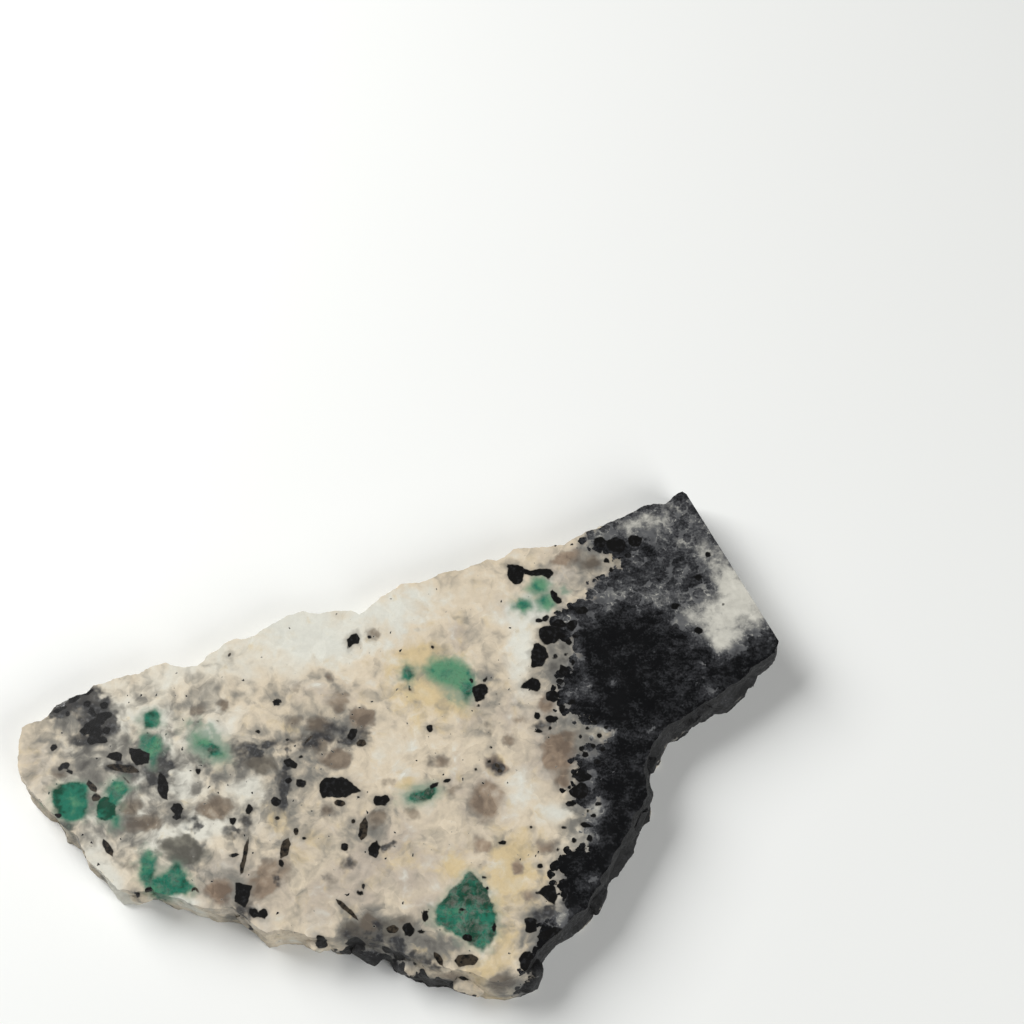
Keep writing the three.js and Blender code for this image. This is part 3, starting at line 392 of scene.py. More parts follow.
BLADE_THINNED = (0.7, 1.0)      # how wide its thinner shoulders are, in half widths
NO_LENGTH = 1e-9                # stands for the square of a side that has no length


class Body:
    """A mineral grown in the stone: an outline in the plan that drifts and closes away from its depth."""

    def __init__(self, corners, rng, depth=0.0, half_depth=1.0, width=None, tone=0.0):
        self.corners = np.asarray(corners, float)
        self.middle = self.corners.mean(axis=0)
        self.reach = np.linalg.norm(self.corners - self.middle, axis=1).max()
        spans = self.corners.max(axis=0) - self.corners.min(axis=0)
        self.width = width if width is not None else spans.min()
        self.depth = depth
        self.half_depth = half_depth
        self.tone = tone
        heading = rng.uniform(0, 2 * math.pi)
        bend = rng.uniform(0, GRAIN_BEND)
        self.drift = np.array([math.cos(heading), math.sin(heading)]) * bend

    def distance(self, points, depths):
        below = depths - self.depth
        moved = points - below[:, None] * self.drift
        closing = 0.5 * self.width * (below / self.half_depth) ** 2
        return outline_distance(moved, self.corners) + closing

    def near(self, points):
        slack = self.reach + FAR + GRAIN_BEND * THICKNESS
        return np.flatnonzero(((points - self.middle) ** 2).sum(axis=1) < slack * slack)


def outline_distance(points, corners):
    """Distance in the plan to a closed outline, negative inside it."""
    nearest = np.full(len(points), np.inf)
    inside = np.zeros(len(points), bool)
    for start, end in zip(corners, np.roll(corners, -1, axis=0)):
        edge = end - start
        offset = points - start
        share = np.clip(offset @ edge / max(edge @ edge, NO_LENGTH), 0, 1)
        gap = offset - share[:, None] * edge
        nearest = np.minimum(nearest, np.sqrt((gap * gap).sum(axis=1)))
        if edge[1]:
            crosses = (start[1] > points[:, 1]) != (end[1] > points[:, 1])
            inside ^= crosses & (points[:, 0] < start[0] + (points[:, 1] - start[1]) * edge[0] / edge[1])
    return np.where(inside, -nearest, nearest)


def heading_of(degrees):
    return math.cos(math.radians(degrees)), math.sin(math.radians(degrees))


def turned(x, y, heading, outline):
    """An outline given along and across its own heading, put in its place in the plan."""
    cos, sin = heading_of(heading)
    return [(x + u * cos - v * sin, y + u * sin + v * cos) for u, v in outline]


def grain_outline(x, y, length, width, heading, rng):
    """A blocky grain."""
    count = rng.randint(*CORNER_COUNT)
    first = rng.uniform(0, 2 * math.pi)
    outline = []
    for corner in range(count):
        angle = first + (corner + rng.uniform(-CORNER_SLIP, CORNER_SLIP)) * 2 * math.pi / count
        reach = rng.uniform(*CORNER_REACH)
        outline.append((0.5 * length * reach * math.cos(angle), 0.5 * width * reach * math.sin(angle)))
    return turned(x, y, heading, outline)


def blade_outline(x, y, length, width, heading, rng):
    """A blade of mica seen edge on: long sides nearly straight, ends pointed or broken off."""
    half, thick = 0.5 * length, 0.5 * width

    def tip(end):
        return end, rng.uniform(-TIP_SLIP, TIP_SLIP) * thick

    outline = [tip(half),
               (half * rng.uniform(*BLADE_FRONT), thick),
               (-half * rng.uniform(*BLADE_BACK), thick * rng.uniform(*BLADE_THINNED)),
               tip(-half),
               (-half * rng.uniform(*BLADE_BACK), -thick),
               (half * rng.uniform(*BLADE_FRONT), -thick * rng.uniform(*BLADE_THINNED))]
    return turned(x, y, heading, outline)


def bodies_from(places, outline, rng, depth_share, toned=False):
    """Bodies cut by the show face; one goes about as deep as depth_share of its size."""
    bodies = []
    for place in places:
        x, y, length, width, heading = place[:5]
        deep = max(SHALLOWEST, 0.5 * (length + width) * depth_share * rng.uniform(*DEPTH_SPREAD))
        bodies.append(Body(outline(x, y, length, width, heading, rng), rng, depth=0.0, half_depth=deep,
                           width=min(length, width), tone=place[5] if toned else 0.0))
    return bodies


def strewn(count, outline, rng, sizes, slimness, toned=False):
    """Bodies strewn through the depth of the stone, none of them reaching the show face."""
    bodies = []
    for _ in range(count):
        length = sizes[0] + (sizes[1] - sizes[0]) * rng.random() ** 2
        width = length * rng.uniform(*slimness)
        depth = rng.uniform(HIDDEN_FROM, THICKNESS + HIDDEN_PAST)
        half_depth = min(depth - SHALLOWEST, length * rng.uniform(*HIDDEN_DEPTHS))
        corners = outline(rng.uniform(PLAN_LOW[0], PLAN_HIGH[0]), rng.uniform(PLAN_LOW[1], PLAN_HIGH[1]),
                          length, width, rng.uniform(0, 180), rng)
        tone = rng.random() if toned else 0.0
        bodies.append(Body(corners, rng, depth=depth, half_depth=half_depth, width=width, tone=tone))
    return bodies


def emerald_bodies(rng):
    bodies = [Body(corners, rng, half_depth=deep, tone=tone) for tone, deep, corners in EMERALDS]
    for tone, depth, half_depth, x, y, length, width, heading in HIDDEN_EMERALDS:
        corners = grain_outline(x, y, length, width, heading, rng)
        bodies.append(Body(corners, rng, depth=depth, half_depth=half_depth, width=width, tone=tone))
    return bodies


def grain_bodies(rng):
    shaped = [Body(corners, rng, half_depth=rng.uniform(*SHAPED_DEPTHS)) for corners in SHAPED_GRAINS]
    rim = [Body(grain_outline(*place[:5], rng), rng, depth=place[5], half_depth=RIM_HALF_DEPTH,
                width=min(place[2:4])) for place in RIM_GRAINS]
    return (shaped + rim + bodies_from(BLACK_GRAINS, grain_outline, rng, depth_share=1.5)
            + strewn(HIDDEN_GRAINS, grain_outline, rng, sizes=(0.25, 1.2), slimness=(0.5, 1.0)))


def blade_bodies(rng):
    return (bodies_from(MICA_BLADES, blade_outline, rng, depth_share=1.2)
            + strewn(HIDDEN_BLADES, blade_outline, rng, sizes=(0.5, 2.2), slimness=(0.14, 0.4)))


def quartz_bodies(rng):
    return (bodies_from(QUARTZ_EYES, grain_outline, rng, depth_share=1.3, toned=True)
            + strewn(HIDDEN_EYES, grain_outline, rng, sizes=(0.8, 2.6), slimness=(0.5, 0.9), toned=True))


def nearest_body(points, depths, bodies):
    """Distance to the nearest of the bodies at every point, and that body's tone."""
    distance = np.full(len(points), FAR)
    tone = np.zeros(len(points))
    for body in bodies:
        near = body.near(points)
        found = body.distance(points[near], depths[near])
        closer = found < distance[near]
        distance[near[closer]] = found[closer]
        tone[near[closer]] = body.tone
    return distance, tone


def cloud_field(points, depths, clouds):
    """Soft fields of colour, each fading outward from its middle and drifting with depth."""
    moved = points - depths[:, None] * np.array(CLOUD_DRIFT)
    clear = np.ones(len(points))
    for x, y, length, width, heading, weight in clouds:
        cos, sin = heading_of(heading)
        along = ((moved[:, 0] - x) * cos + (moved[:, 1] - y) * sin) / (0.5 * length)
        across = ((moved[:, 1] - y) * cos - (moved[:, 0] - x) * sin) / (0.5 * width)
        clear *= 1 - weight * np.exp(-(along * along + across * across))
    return 1 - clear


def tone_patches(points, depths):
    """Cores and pale patches that shift the tone of the emeralds."""
    shift = np.zeros(len(points))
    for x, y, radius, change in EMERALD_PATCHES:
        away = ((points - (x, y)) ** 2).sum(axis=1) + (PATCH_FADE * depths) ** 2
        shift += change * np.exp(-away / (radius * radius))
    return shift


# ---- the stone's mesh ----------------------------------------------------------------------

EXACT = 1e-6                    # two places closer than this, in metres, are one
OVERRUN = 0.5 * MM              # the rough blank runs this far past each sawn face
BLOCK_MARGIN = 1 * MM           # the sawn block reaches this far round the stone in the plan
SAWN_EDGE = ((18.2, 15.8), (23.6, 5.95))    # the sawn edge's two ends in the plan
SAWN_TRUE = 0.02 * MM           # points this close to the sawn edge's plane stay where they are
MOST_SHIFT = 0.2 * MM           # the most that a point of the rim moves as it is roughened
HACKLE_SCALE, GRIT_SCALE = 1.1, 5.0         # patterns per millimetre
HACKLE_NOISE = (0.9, 2.1, 4, 1.0, 2.0)      # fall-off, step, octaves, offset and gain
GRIT_NOISE = (0.8, 2.2, 3)                  # fall-off, step and octaves
FLAT_COSINE = 0.999             # a face is flat from this share of its normal upright
EDGE_COSINE = 0.9995            # a face is of the sawn edge from this share of its normal outward
ARRIS = math.radians(38)        # edges sharper than this are kept crisp
FEWEST_FACES = 1000


class SlabSizes(bpy.types.PropertyGroup):
    face_step: FloatProperty(
        name="Face grid", description="Spacing of the points on the two sawn faces before refining",
        default=0.40 * MM, min=0.2 * MM, max=2 * MM, unit="LENGTH", subtype="DISTANCE")
    rim_cuts: IntProperty(
        name="Rim cuts", description="How many times each edge of the broken rim is cut",
        default=2, min=0, max=4)
    hackle: FloatProperty(
        name="Hackle", description="Height of the fine steps on the broken rim",
        default=0.07 * MM, min=0, max=0.3 * MM, unit="LENGTH", subtype="DISTANCE")
    grit: FloatProperty(
        name="Grit", description="Height of the finest roughness on the broken rim",
        default=0.028 * MM, min=0, max=0.1 * MM, unit="LENGTH", subtype="DISTANCE")
    refine_band: FloatProperty(
        name="Refined band", description="The show face is cut finer this close to the edge of a grain",
        default=0.17 * MM, min=0, max=1 * MM, unit="LENGTH", subtype="DISTANCE")


def on_level(face_or_edge, level):
    return all(abs(vert.co.z - level) < EXACT for vert in face_or_edge.verts)


def points_in(geometry):
    return [item for item in geometry if isinstance(item, bmesh.types.BMVert)]


def rough_blank(sizes):
    """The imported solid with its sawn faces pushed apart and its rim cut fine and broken."""
    bm = bmesh.new()
    bm.from_mesh(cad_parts[NODE].data)
    bmesh.ops.remove_doubles(bm, verts=bm.verts, dist=EXACT / 10)
    levels = ((STONE_LOW.z, -OVERRUN), (STONE_HIGH.z, OVERRUN))
    for level, _ in levels:
        flat = [face for face in bm.faces if on_level(face, level)]
        bmesh.ops.delete(bm, geom=flat, context="FACES")
    bmesh.ops.subdivide_edges(bm, edges=bm.edges, cuts=sizes.rim_cuts, use_grid_fill=True)
    break_rim(bm, sizes)
    for level, overrun in levels:
        rim = [edge for edge in bm.edges if edge.is_boundary and on_level(edge, level)]
        skirt = bmesh.ops.extrude_edge_only(bm, edges=rim)["geom"]
        bmesh.ops.translate(bm, verts=points_in(skirt), vec=(0, 0, overrun))
        open_edges = [edge for edge in bm.edges if edge.is_boundary and on_level(edge, level + overrun)]
        bmesh.ops.holes_fill(bm, edges=open_edges, sides=0)
    bmesh.ops.recalc_face_normals(bm, faces=bm.faces)
    return bm


def sawn_edge_plane():
    """A point on the sawn edge and its outward direction, in metres."""
    (x0, y0), (x1, y1) = SAWN_EDGE
    start = Vector((x0 + PLAN_SHIFT[0], y0 + PLAN_SHIFT[1], 0)) * MM
    along = Vector((x1 - x0, y1 - y0, 0)).normalized()
    return start, Vector((-along.y, along.x, 0))


def break_rim(bm, sizes):
    """Softens the large facets a little and roughens the break; sawn planes stay true."""
    start, outward = sawn_edge_plane()
    sawn = {vert for vert in bm.verts if abs((vert.co - start).dot(outward)) < SAWN_TRUE}
    loose = [vert for vert in bm.verts if vert not in sawn]
    inner = [vert for vert in loose if not vert.is_boundary]
    bmesh.ops.smooth_vert(bm, verts=inner, factor=0.5, use_axis_x=True, use_axis_y=True, use_axis_z=True)
    bm.normal_update()
    shifts = {}
    for vert in loose:
        place = vert.co / MM
        hackle = noise.ridged_multi_fractal(place * HACKLE_SCALE, *HACKLE_NOISE) - 1.0
        grit = noise.fractal(place * GRIT_SCALE, *GRIT_NOISE)
        shifts[vert] = hackle * sizes.hackle + grit * sizes.grit
    for vert, shift in shifts.items():
        push = Vector((vert.normal.x, vert.normal.y, 0 if vert.is_boundary else vert.normal.z))
        vert.co += push.normalized() * max(-MOST_SHIFT, min(MOST_SHIFT, shift))


def sawn_block(sizes):
    """The space between the two saw cuts, with its faces laid out as dense grids."""
    margin = Vector((BLOCK_MARGIN, BLOCK_MARGIN, 0))
    low, high = STONE_LOW - margin, STONE_HIGH + margin
    size = high - low
    bm = bmesh.new()
    middle = Vector(((low.x + high.x) / 2, (low.y + high.y) / 2, low.z))
    place = Matrix.Translation(middle) @ Matrix.Diagonal((size.x, size.y, 1, 1))
    bmesh.ops.create_grid(bm, x_segments=round(size.x / sizes.face_step),
                          y_segments=round(size.y / sizes.face_step), size=0.5, matrix=place)
    top = bmesh.ops.extrude_face_region(bm, geom=bm.faces[:])["geom"]
    bmesh.ops.translate(bm, verts=points_in(top), vec=(0, 0, size.z))
    show = [edge for edge in bm.edges if on_level(edge, high.z)]
    bmesh.ops.subdivide_edges(bm, edges=show, cuts=1, use_grid_fill=True)
    bmesh.ops.triangulate(bm, faces=bm.faces)
    bmesh.ops.recalc_face_normals(bm, faces=bm.faces)
    return bm


def to_object(bm, name):
    mesh = bpy.data.meshes.new(name)
    bm.to_mesh(mesh)
    bm.free()
    made = bpy.data.objects.new(name, mesh)
    bpy.context.scene.collection.objects.link(made)
    return made


def sawn_slice(sizes):
    """The rough blank sawn through twice: one closed mesh with crisp edges."""
    piece = to_object(rough_blank(sizes), PIECE)
    block = to_object(sawn_block(sizes), "block")
    cut = piece.modifiers.new("saw", "BOOLEAN")
    cut.operation = "INTERSECT"
    cut.solver = "MANIFOLD"
    cut.object = block
    evaluated = piece.evaluated_get(bpy.context.evaluated_depsgraph_get())
    sawn = bpy.data.meshes.new_from_object(evaluated)
    piece.modifiers.clear()
    rough, spare = piece.data, block.data
    piece.data = sawn
    sawn.name = PIECE
    bpy.data.objects.remove(block)
    bpy.data.meshes.remove(rough)
    bpy.data.meshes.remove(spare)
    if len(sawn.polygons) < FEWEST_FACES:
        raise RuntimeError("the saw cuts left no stone")
    return piece


def plan_of(mesh):
    """Every point's place in the plan and its depth under the show face, in millimetres."""
    places = np.empty(len(mesh.vertices) * 3)
    mesh.vertices.foreach_get("co", places)
    places = places.reshape(-1, 3) / MM
    return places[:, :2] - PLAN_SHIFT, THICKNESS - places[:, 2]


def refine_show_face(piece, sizes, bodies):
    """Cuts the show face finer along the edges of the grains, so small grains keep their shape."""
    points, depths = plan_of(piece.data)
    distance, _ = nearest_body(points, depths, bodies)
    close = np.abs(distance) < sizes.refine_band / MM
    bm = bmesh.new()
    bm.from_mesh(piece.data)
    bm.verts.ensure_lookup_table()
    edges = [edge for edge in bm.edges if on_level(edge, STONE_HIGH.z)
             and (close[edge.verts[0].index] or close[edge.verts[1].index])]
    bmesh.ops.subdivide_edges(bm, edges=edges, cuts=1, use_grid_fill=True)
    bmesh.ops.triangulate(bm, faces=bm.faces)
    bm.to_mesh(piece.data)
    bm.free()


def finish_surface(piece):
    """Smooth shading with crisp arrises, and which faces are broken, sawn or polished."""
    bm = bmesh.new()
    bm.from_mesh(piece.data)
    broken = bm.faces.layers.float.new("broken")
    sawn = bm.faces.layers.float.new("sawn")
    _, outward = sawn_edge_plane()
    for face in bm.faces:
        face.smooth = True
        level = on_level(face, STONE_HIGH.z) or on_level(face, STONE_LOW.z)
        flat = level and abs(face.normal.z) > FLAT_COSINE
        edge_cut = face.normal.dot(outward) > EDGE_COSINE
        face[broken] = 0.0 if flat or edge_cut else 1.0
        face[sawn] = 1.0 if edge_cut or (flat and face.normal.z < 0) else 0.0
    for edge in bm.edges:
        edge.smooth = edge.calc_face_angle(math.pi) < ARRIS
    bm.to_mesh(piece.data)
    bm.free()


def store(mesh, name, values):
    attribute = mesh.attributes.new(name, "FLOAT", "POINT")
    attribute.data.foreach_set("value", values.astype(np.float32))


def grow_minerals():
    """Every kind of mineral body, from one seed."""
    rng = random.Random(SEED)
    return {
        "emerald": emerald_bodies(rng),
        "grain": grain_bodies(rng),
        "blade": blade_bodies(rng),
        "veiled": bodies_from(VEILED_GRAINS, grain_outline, rng, depth_share=1.6),
        "quartz": quartz_bodies(rng),
        "schist": [Body(corners, rng, depth, half_depth) for depth, half_depth, corners in SCHIST_BODIES],
    }


CLOUDS = {"green": GREEN_CLOUDS, "dust": DUST_CLOUDS, "white": WHITE_CLOUDS, "blush": BLUSH_CLOUDS,
          "stain": STAINS, "smoke": SMOKE_CLOUDS, "schist_haze": SCHIST_HAZE}


def store_minerals(piece, minerals):
    """Gives every point its distance to each kind of mineral, and the soft fields of colour."""
    mesh = piece.data
    points, depths = plan_of(mesh)
    for name, bodies in minerals.items():
        distance, tone = nearest_body(points, depths, bodies)
        store(mesh, name, distance)
        if name == "emerald":
            tone = tone + tone_patches(points, depths)
        if name in ("emerald", "quartz"):
            store(mesh, name + "_tone", tone)
    for name, places in CLOUDS.items():
        store(mesh, name, cloud_field(points, depths, places))


# ---- the stone's material ------------------------------------------------------------------

MIX_FACTOR, MIX_A, MIX_B, MIX_RESULT = 0, 6, 7, 2   # a Mix node's sockets when it mixes colours
SCHIST_LIE = math.radians(-32)  # the way the schist's flakes lie in the plan

# How far each layer covers what lies under it.
GREEN_VEIL = 0.8                # pale green over a hidden emerald
GRAIN_HALO = 0.50               # the smoky ring round black grains and blades
VEILED = 0.90                   # grains just under the surface
EMERALD_HALO = 0.45             # the green ring round an emerald
GRAIN_SHEEN = 0.4               # painted grey sheen in the black grains, laid on as charcoal flecks

# The surface: roughness from 0 to 1, and small relief in shares of the bump's height.
POLISH = (0.14, 0.10)           # the show face: how much smears add, and its least
DARK_ROUGHNESS = 0.10           # what the dark minerals add to it
SAWN_ROUGHNESS = 0.26           # what a sawn face adds to it
BREAK_ROUGHNESS = (0.45, 0.42)  # the broken rim: how much it varies, and its least
SMEAR_HEIGHT = 0.05
SAW_LINE_HEIGHT = 0.08
BUMP_STRENGTH = 0.5
BUMP_HEIGHT = 0.12 * MM
STONE_IOR = 1.50


class StoneColours(bpy.types.PropertyGroup):
    white: FloatVectorProperty(
        name="White feldspar", description="The whitest rock", subtype="COLOR", size=3, min=0, max=1,
        default=(0.68, 0.675, 0.60))
    cream: FloatVectorProperty(
        name="Cream feldspar", description="Most of the pale rock", subtype="COLOR", size=3, min=0, max=1,
        default=(0.655, 0.565, 0.43))
    blush: FloatVectorProperty(
        name="Blush feldspar", description="The pinker, duller patches", subtype="COLOR", size=3,
        min=0, max=1, default=(0.475, 0.41, 0.335))
    smoke: FloatVectorProperty(
        name="Smoky rock", description="Clear rock that lets the dark below show", subtype="COLOR",
        size=3, min=0, max=1, default=(0.215, 0.205, 0.18))
    stain: FloatVectorProperty(
        name="Iron stain", description="The yellow stains", subtype="COLOR", size=3, min=0, max=1,
        default=(0.615, 0.488, 0.282))
    quartz_grey: FloatVectorProperty(
        name="Grey quartz", description="The greyest quartz", subtype="COLOR", size=3, min=0, max=1,
        default=(0.205, 0.195, 0.160))
    quartz_brown: FloatVectorProperty(
        name="Brown quartz", description="The brownest quartz", subtype="COLOR", size=3, min=0, max=1,
        default=(0.335, 0.250, 0.180))
    emerald_deep: FloatVectorProperty(
        name="Deep emerald", description="The darkest green", subtype="COLOR", size=3, min=0, max=1,
        default=(0.011, 0.061, 0.037))
    emerald_bright: FloatVectorProperty(
        name="Bright emerald", description="The clear green of most crystals", subtype="COLOR", size=3,
        min=0, max=1, default=(0.023, 0.161, 0.105))
    emerald_pale: FloatVectorProperty(
        name="Pale emerald", description="Green seen through clouded crystal", subtype="COLOR", size=3,
        min=0, max=1, default=(0.104, 0.266, 0.153))
    green_veil: FloatVectorProperty(
        name="Green veil", description="Pale rock with an emerald under it", subtype="COLOR", size=3,
        min=0, max=1, default=(0.205, 0.285, 0.215))
    grain: FloatVectorProperty(
        name="Black grain", description="Tourmaline and biotite grains", subtype="COLOR", size=3,
        min=0, max=1, default=(0.0040, 0.0038, 0.0036))
    mica: FloatVectorProperty(
        name="Brown mica", description="Mica blades seen edge on", subtype="COLOR", size=3, min=0, max=1,
        default=(0.046, 0.036, 0.025))
    schist: FloatVectorProperty(
        name="Schist", description="The near-black of the schist", subtype="COLOR", size=3, min=0, max=1,
        default=(0.0030, 0.0032, 0.0038))
    charcoal: FloatVectorProperty(
        name="Charcoal", description="The greyer flakes of the schist", subtype="COLOR", size=3, min=0,
        max=1, default=(0.032, 0.033, 0.036))
    schist_grey: FloatVectorProperty(
        name="Schist grey", description="The grey threads and scales in the schist", subtype="COLOR",
        size=3, min=0, max=1, default=(0.115, 0.117, 0.120))
    schist_pale: FloatVectorProperty(
        name="Rock in schist", description="Pale rock between the schist's grains", subtype="COLOR",
        size=3, min=0, max=1, default=(0.575, 0.56, 0.495))


class Wiring:
    """Adds nodes to a tree. A value is a number, a colour, a vector or another node's output."""

    def __init__(self, tree):
        self.tree = tree

    def feed(self, socket, value):
        if isinstance(value, bpy.types.NodeSocket):
            self.tree.links.new(value, socket)
        else:
            socket.default_value = value

    def node(self, kind, values=None, **settings):
        made = self.tree.nodes.new(kind)
        for setting, value in settings.items():
            setattr(made, setting, value)
        for socket, value in (values or {}).items():
            self.feed(made.inputs[socket], value)
        return made

    def group(self, group, values):
        """A node group's outputs, once it is placed with these inputs."""
        return self.node("ShaderNodeGroup", values, node_tree=group).outputs

    def field(self, name):
        """A value carried by the mesh."""
        made = self.node("ShaderNodeAttribute", attribute_name=name, attribute_type="GEOMETRY")
        return made.outputs["Fac"]

    def maths(self, operation, *values):
        return self.node("ShaderNodeMath", dict(enumerate(values)), operation=operation).outputs[0]

    def times(self, value, factor):
        return self.maths("MULTIPLY", value, factor)

    def scaled(self, value, factor, added):
        """A value times a factor, with another value added."""
        return self.maths("MULTIPLY_ADD", value, factor, added)

    def step(self, value, low, high):
        """0 before low and 1 beyond high, with a soft step between; low may be the larger."""
        made = self.node("ShaderNodeMapRange", {"Value": value, "From Min": low, "From Max": high},
                         interpolation_type="SMOOTHSTEP")
        return made.outputs["Result"]

    def mixed(self, factor, first, second, blend="MIX"):
        """A mix of two colours."""
        made = self.node("ShaderNodeMix", {MIX_FACTOR: factor, MIX_A: first, MIX_B: second},
                         data_type="RGBA", blend_type=blend)
        return made.outputs[MIX_RESULT]

    def between(self, factor, first, second):
        """A mix of two values."""
        made = self.node("ShaderNodeMix", {0: factor, 2: first, 3: second}, data_type="FLOAT")
        return made.outputs[0]

    def shaded(self, colour, value):
        """A colour made darker or lighter by a value."""
        grey = self.node("ShaderNodeCombineColor", {0: value, 1: value, 2: value}).outputs[0]
        return self.mixed(1.0, colour, grey, "MULTIPLY")

    def noise(self, place, scale, detail=3.0, roughness=0.5, output="Fac"):
        made = self.node("ShaderNodeTexNoise", {"Vector": place, "Scale": scale, "Detail": detail,
                                                "Roughness": roughness})
        return made.outputs[output]

    def cells(self, place, scale):
        """Scattered cells: the distance to the middle of each, and a random colour of its own."""
        return self.node("ShaderNodeTexVoronoi", {"Vector": place, "Scale": scale}, feature="F1").outputs

    def one_of(self, colour):
        """A steady random value from a cell's random colour."""
        return self.node("ShaderNodeSeparateColor", {0: colour}).outputs[0]

    def moved(self, place, offset):
        """The same place read elsewhere, so two patterns don't line up."""
        return self.node("ShaderNodeMapping", {"Vector": place, "Location": offset}).outputs["Vector"]

    def warped(self, place, scale, amount, detail=2.0):
        """A place pushed about by noise, by up to about half of amount each way."""
        swirl = self.noise(place, scale, detail, 0.5, "Color")
        centred = self.node("ShaderNodeVectorMath", {0: swirl, 1: (0.5,) * 3}, operation="SUBTRACT")
        pushed = self.node("ShaderNodeVectorMath", {0: centred.outputs[0], 1: (amount,) * 3, 2: place},
                           operation="MULTIPLY_ADD")
        return pushed.outputs[0]

    def ripple(self, place, scale, detail=3.0, roughness=0.55):
        """Noise centred on 0 that mostly stays within 0.2 of it."""
        return self.maths("SUBTRACT", self.noise(place, scale, detail, roughness), 0.5)

    def jittered(self, value, place, scale, amount, detail=3.0, roughness=0.55):
        """A value with that ripple, times an amount, added to it."""
        return self.scaled(self.ripple(place, scale, detail, roughness), amount, value)


def new_group(name, inputs, outputs):
    """An empty node group with named sockets, its wiring, its input sockets and its output node."""
    group = bpy.data.node_groups.new(name, "ShaderNodeTree")
    for label, kind in inputs:
        group.interface.new_socket(label, in_out="INPUT", socket_type="NodeSocket" + kind)
    for label, kind in outputs:
        group.interface.new_socket(label, in_out="OUTPUT", socket_type="NodeSocket" + kind)
    wiring = Wiring(group)
    given = wiring.node("NodeGroupInput").outputs
    result = wiring.node("NodeGroupOutput")
    return group, wiring, given, result.inputs


def solid(colour):
    return (*colour, 1.0)


def grown_edge_group():
    """Turns a distance to a mineral's outline into a mask whose edge wanders with a ripple."""
    group, wiring, given, result = new_group(
        "Grown edge",
        [("Distance", "Float"), ("Ripple", "Float"), ("Wobble", "Float"), ("Softness", "Float")],
        [("Mask", "Float")])
    distance = wiring.scaled(given["Ripple"], given["Wobble"], given["Distance"])
    inward = wiring.times(given["Softness"], -1.0)
    wiring.feed(result["Mask"], wiring.step(distance, given["Softness"], inward))
    return group


def pale_rock_group():
    """Feldspar and quartz: milky clouds over clear grey rock, a mosaic of crystals, iron stains."""
    group, wiring, given, result = new_group(
        "Pale rock",
        [("Place", "Vector"), ("White", "Float"), ("Blush", "Float"), ("Stain", "Float"),
         ("Smoke", "Float"), ("Clear", "Float"), ("Clear Tone", "Float"), ("White Colour", "Color"),
         ("Cream Colour", "Color"), ("Blush Colour", "Color"), ("Smoke Colour", "Color"),
         ("Grey Quartz Colour", "Color"), ("Brown Quartz Colour", "Color"), ("Stain Colour", "Color"),
         ("Speck Colour", "Color")],
        [("Color", "Color")])
    place = given["Place"]
    swirled = wiring.warped(place, scale=0.45, amount=1.8, detail=3.0)
    ragged = wiring.warped(swirled, scale=1.6, amount=0.35)
    crystal = wiring.one_of(wiring.cells(ragged, scale=0.9)["Color"])
    chip = wiring.noise(wiring.moved(ragged, (31.0, 7.0, 3.0)), scale=1.6, detail=1.0)

    unclear = wiring.scaled(given["Clear"], -0.5, 1.0)
    milk = wiring.scaled(wiring.times(given["White"], unclear), 0.62, 0.52)
    milk = wiring.scaled(given["Smoke"], -0.80, milk)
    milk = wiring.scaled(given["Clear"], -0.46, milk)
    milk = wiring.jittered(milk, swirled, scale=0.5, amount=1.0, detail=2.0)
    marbling = wiring.times(wiring.ripple(ragged, scale=1.1, roughness=0.5),
                            wiring.scaled(given["Smoke"], 0.9, 0.9))
    milk = wiring.maths("ADD", milk, marbling)
    milk = wiring.scaled(wiring.maths("SUBTRACT", crystal, 0.5), 0.13, milk)
    milk = wiring.scaled(wiring.maths("SUBTRACT", chip, 0.5), 0.50, milk)

    quartz = wiring.mixed(given["Clear Tone"], given["Grey Quartz Colour"], given["Brown Quartz Colour"])
    clear = wiring.mixed(given["Clear"], given["Smoke Colour"], quartz)
    dim = wiring.mixed(1.0, clear, (0.50, 0.50, 0.52, 1.0), "MULTIPLY")
    blush = wiring.step(wiring.jittered(given["Blush"], swirled, scale=0.5, amount=2.0), 0.05, 0.80)
    body = wiring.mixed(blush, given["Cream Colour"], given["Blush Colour"])
    whiteness = wiring.jittered(given["White"], swirled, scale=0.5, amount=1.0, detail=2.0)
    pure = wiring.step(whiteness, 0.10, 0.70)
    body = wiring.mixed(wiring.times(pure, 0.85), body, given["White Colour"])
    stain = wiring.jittered(given["Stain"], ragged, scale=0.9, amount=1.5, detail=4.0, roughness=0.6)
    body = wiring.mixed(wiring.times(wiring.step(stain, 0.05, 0.65), 0.95), body,
                        given["Stain Colour"])
    bright = wiring.mixed(wiring.times(wiring.step(stain, 0.10, 0.75), 0.75),
                          given["White Colour"], given["Stain Colour"])
    colour = wiring.mixed(wiring.step(milk, -0.50, 0.10), dim, clear)
    colour = wiring.mixed(wiring.step(milk, -0.08, 0.60), colour, body)
    colour = wiring.mixed(wiring.step(milk, 0.54, 1.06), colour, bright)

    mottle = wiring.noise(place, scale=3.5, detail=5.0, roughness=0.70)
    tone = wiring.scaled(mottle, 0.34, 0.83)
    tone = wiring.times(tone, wiring.scaled(crystal, 0.07, 0.965))
    colour = wiring.shaded(colour, tone)

    dots = wiring.cells(place, scale=2.3)
    chance = wiring.maths("POWER", wiring.one_of(dots["Color"]), 5.0)
    crowd = wiring.step(chip, 0.48, 0.66)
    size = wiring.times(chance, wiring.scaled(crowd, 0.09, 0.022))
    dot = wiring.step(wiring.maths("SUBTRACT", dots["Distance"], size), 0.018, -0.018)
    wiring.feed(result["Color"], wiring.mixed(wiring.times(dot, 0.8), colour, given["Speck Colour"]))
    return group


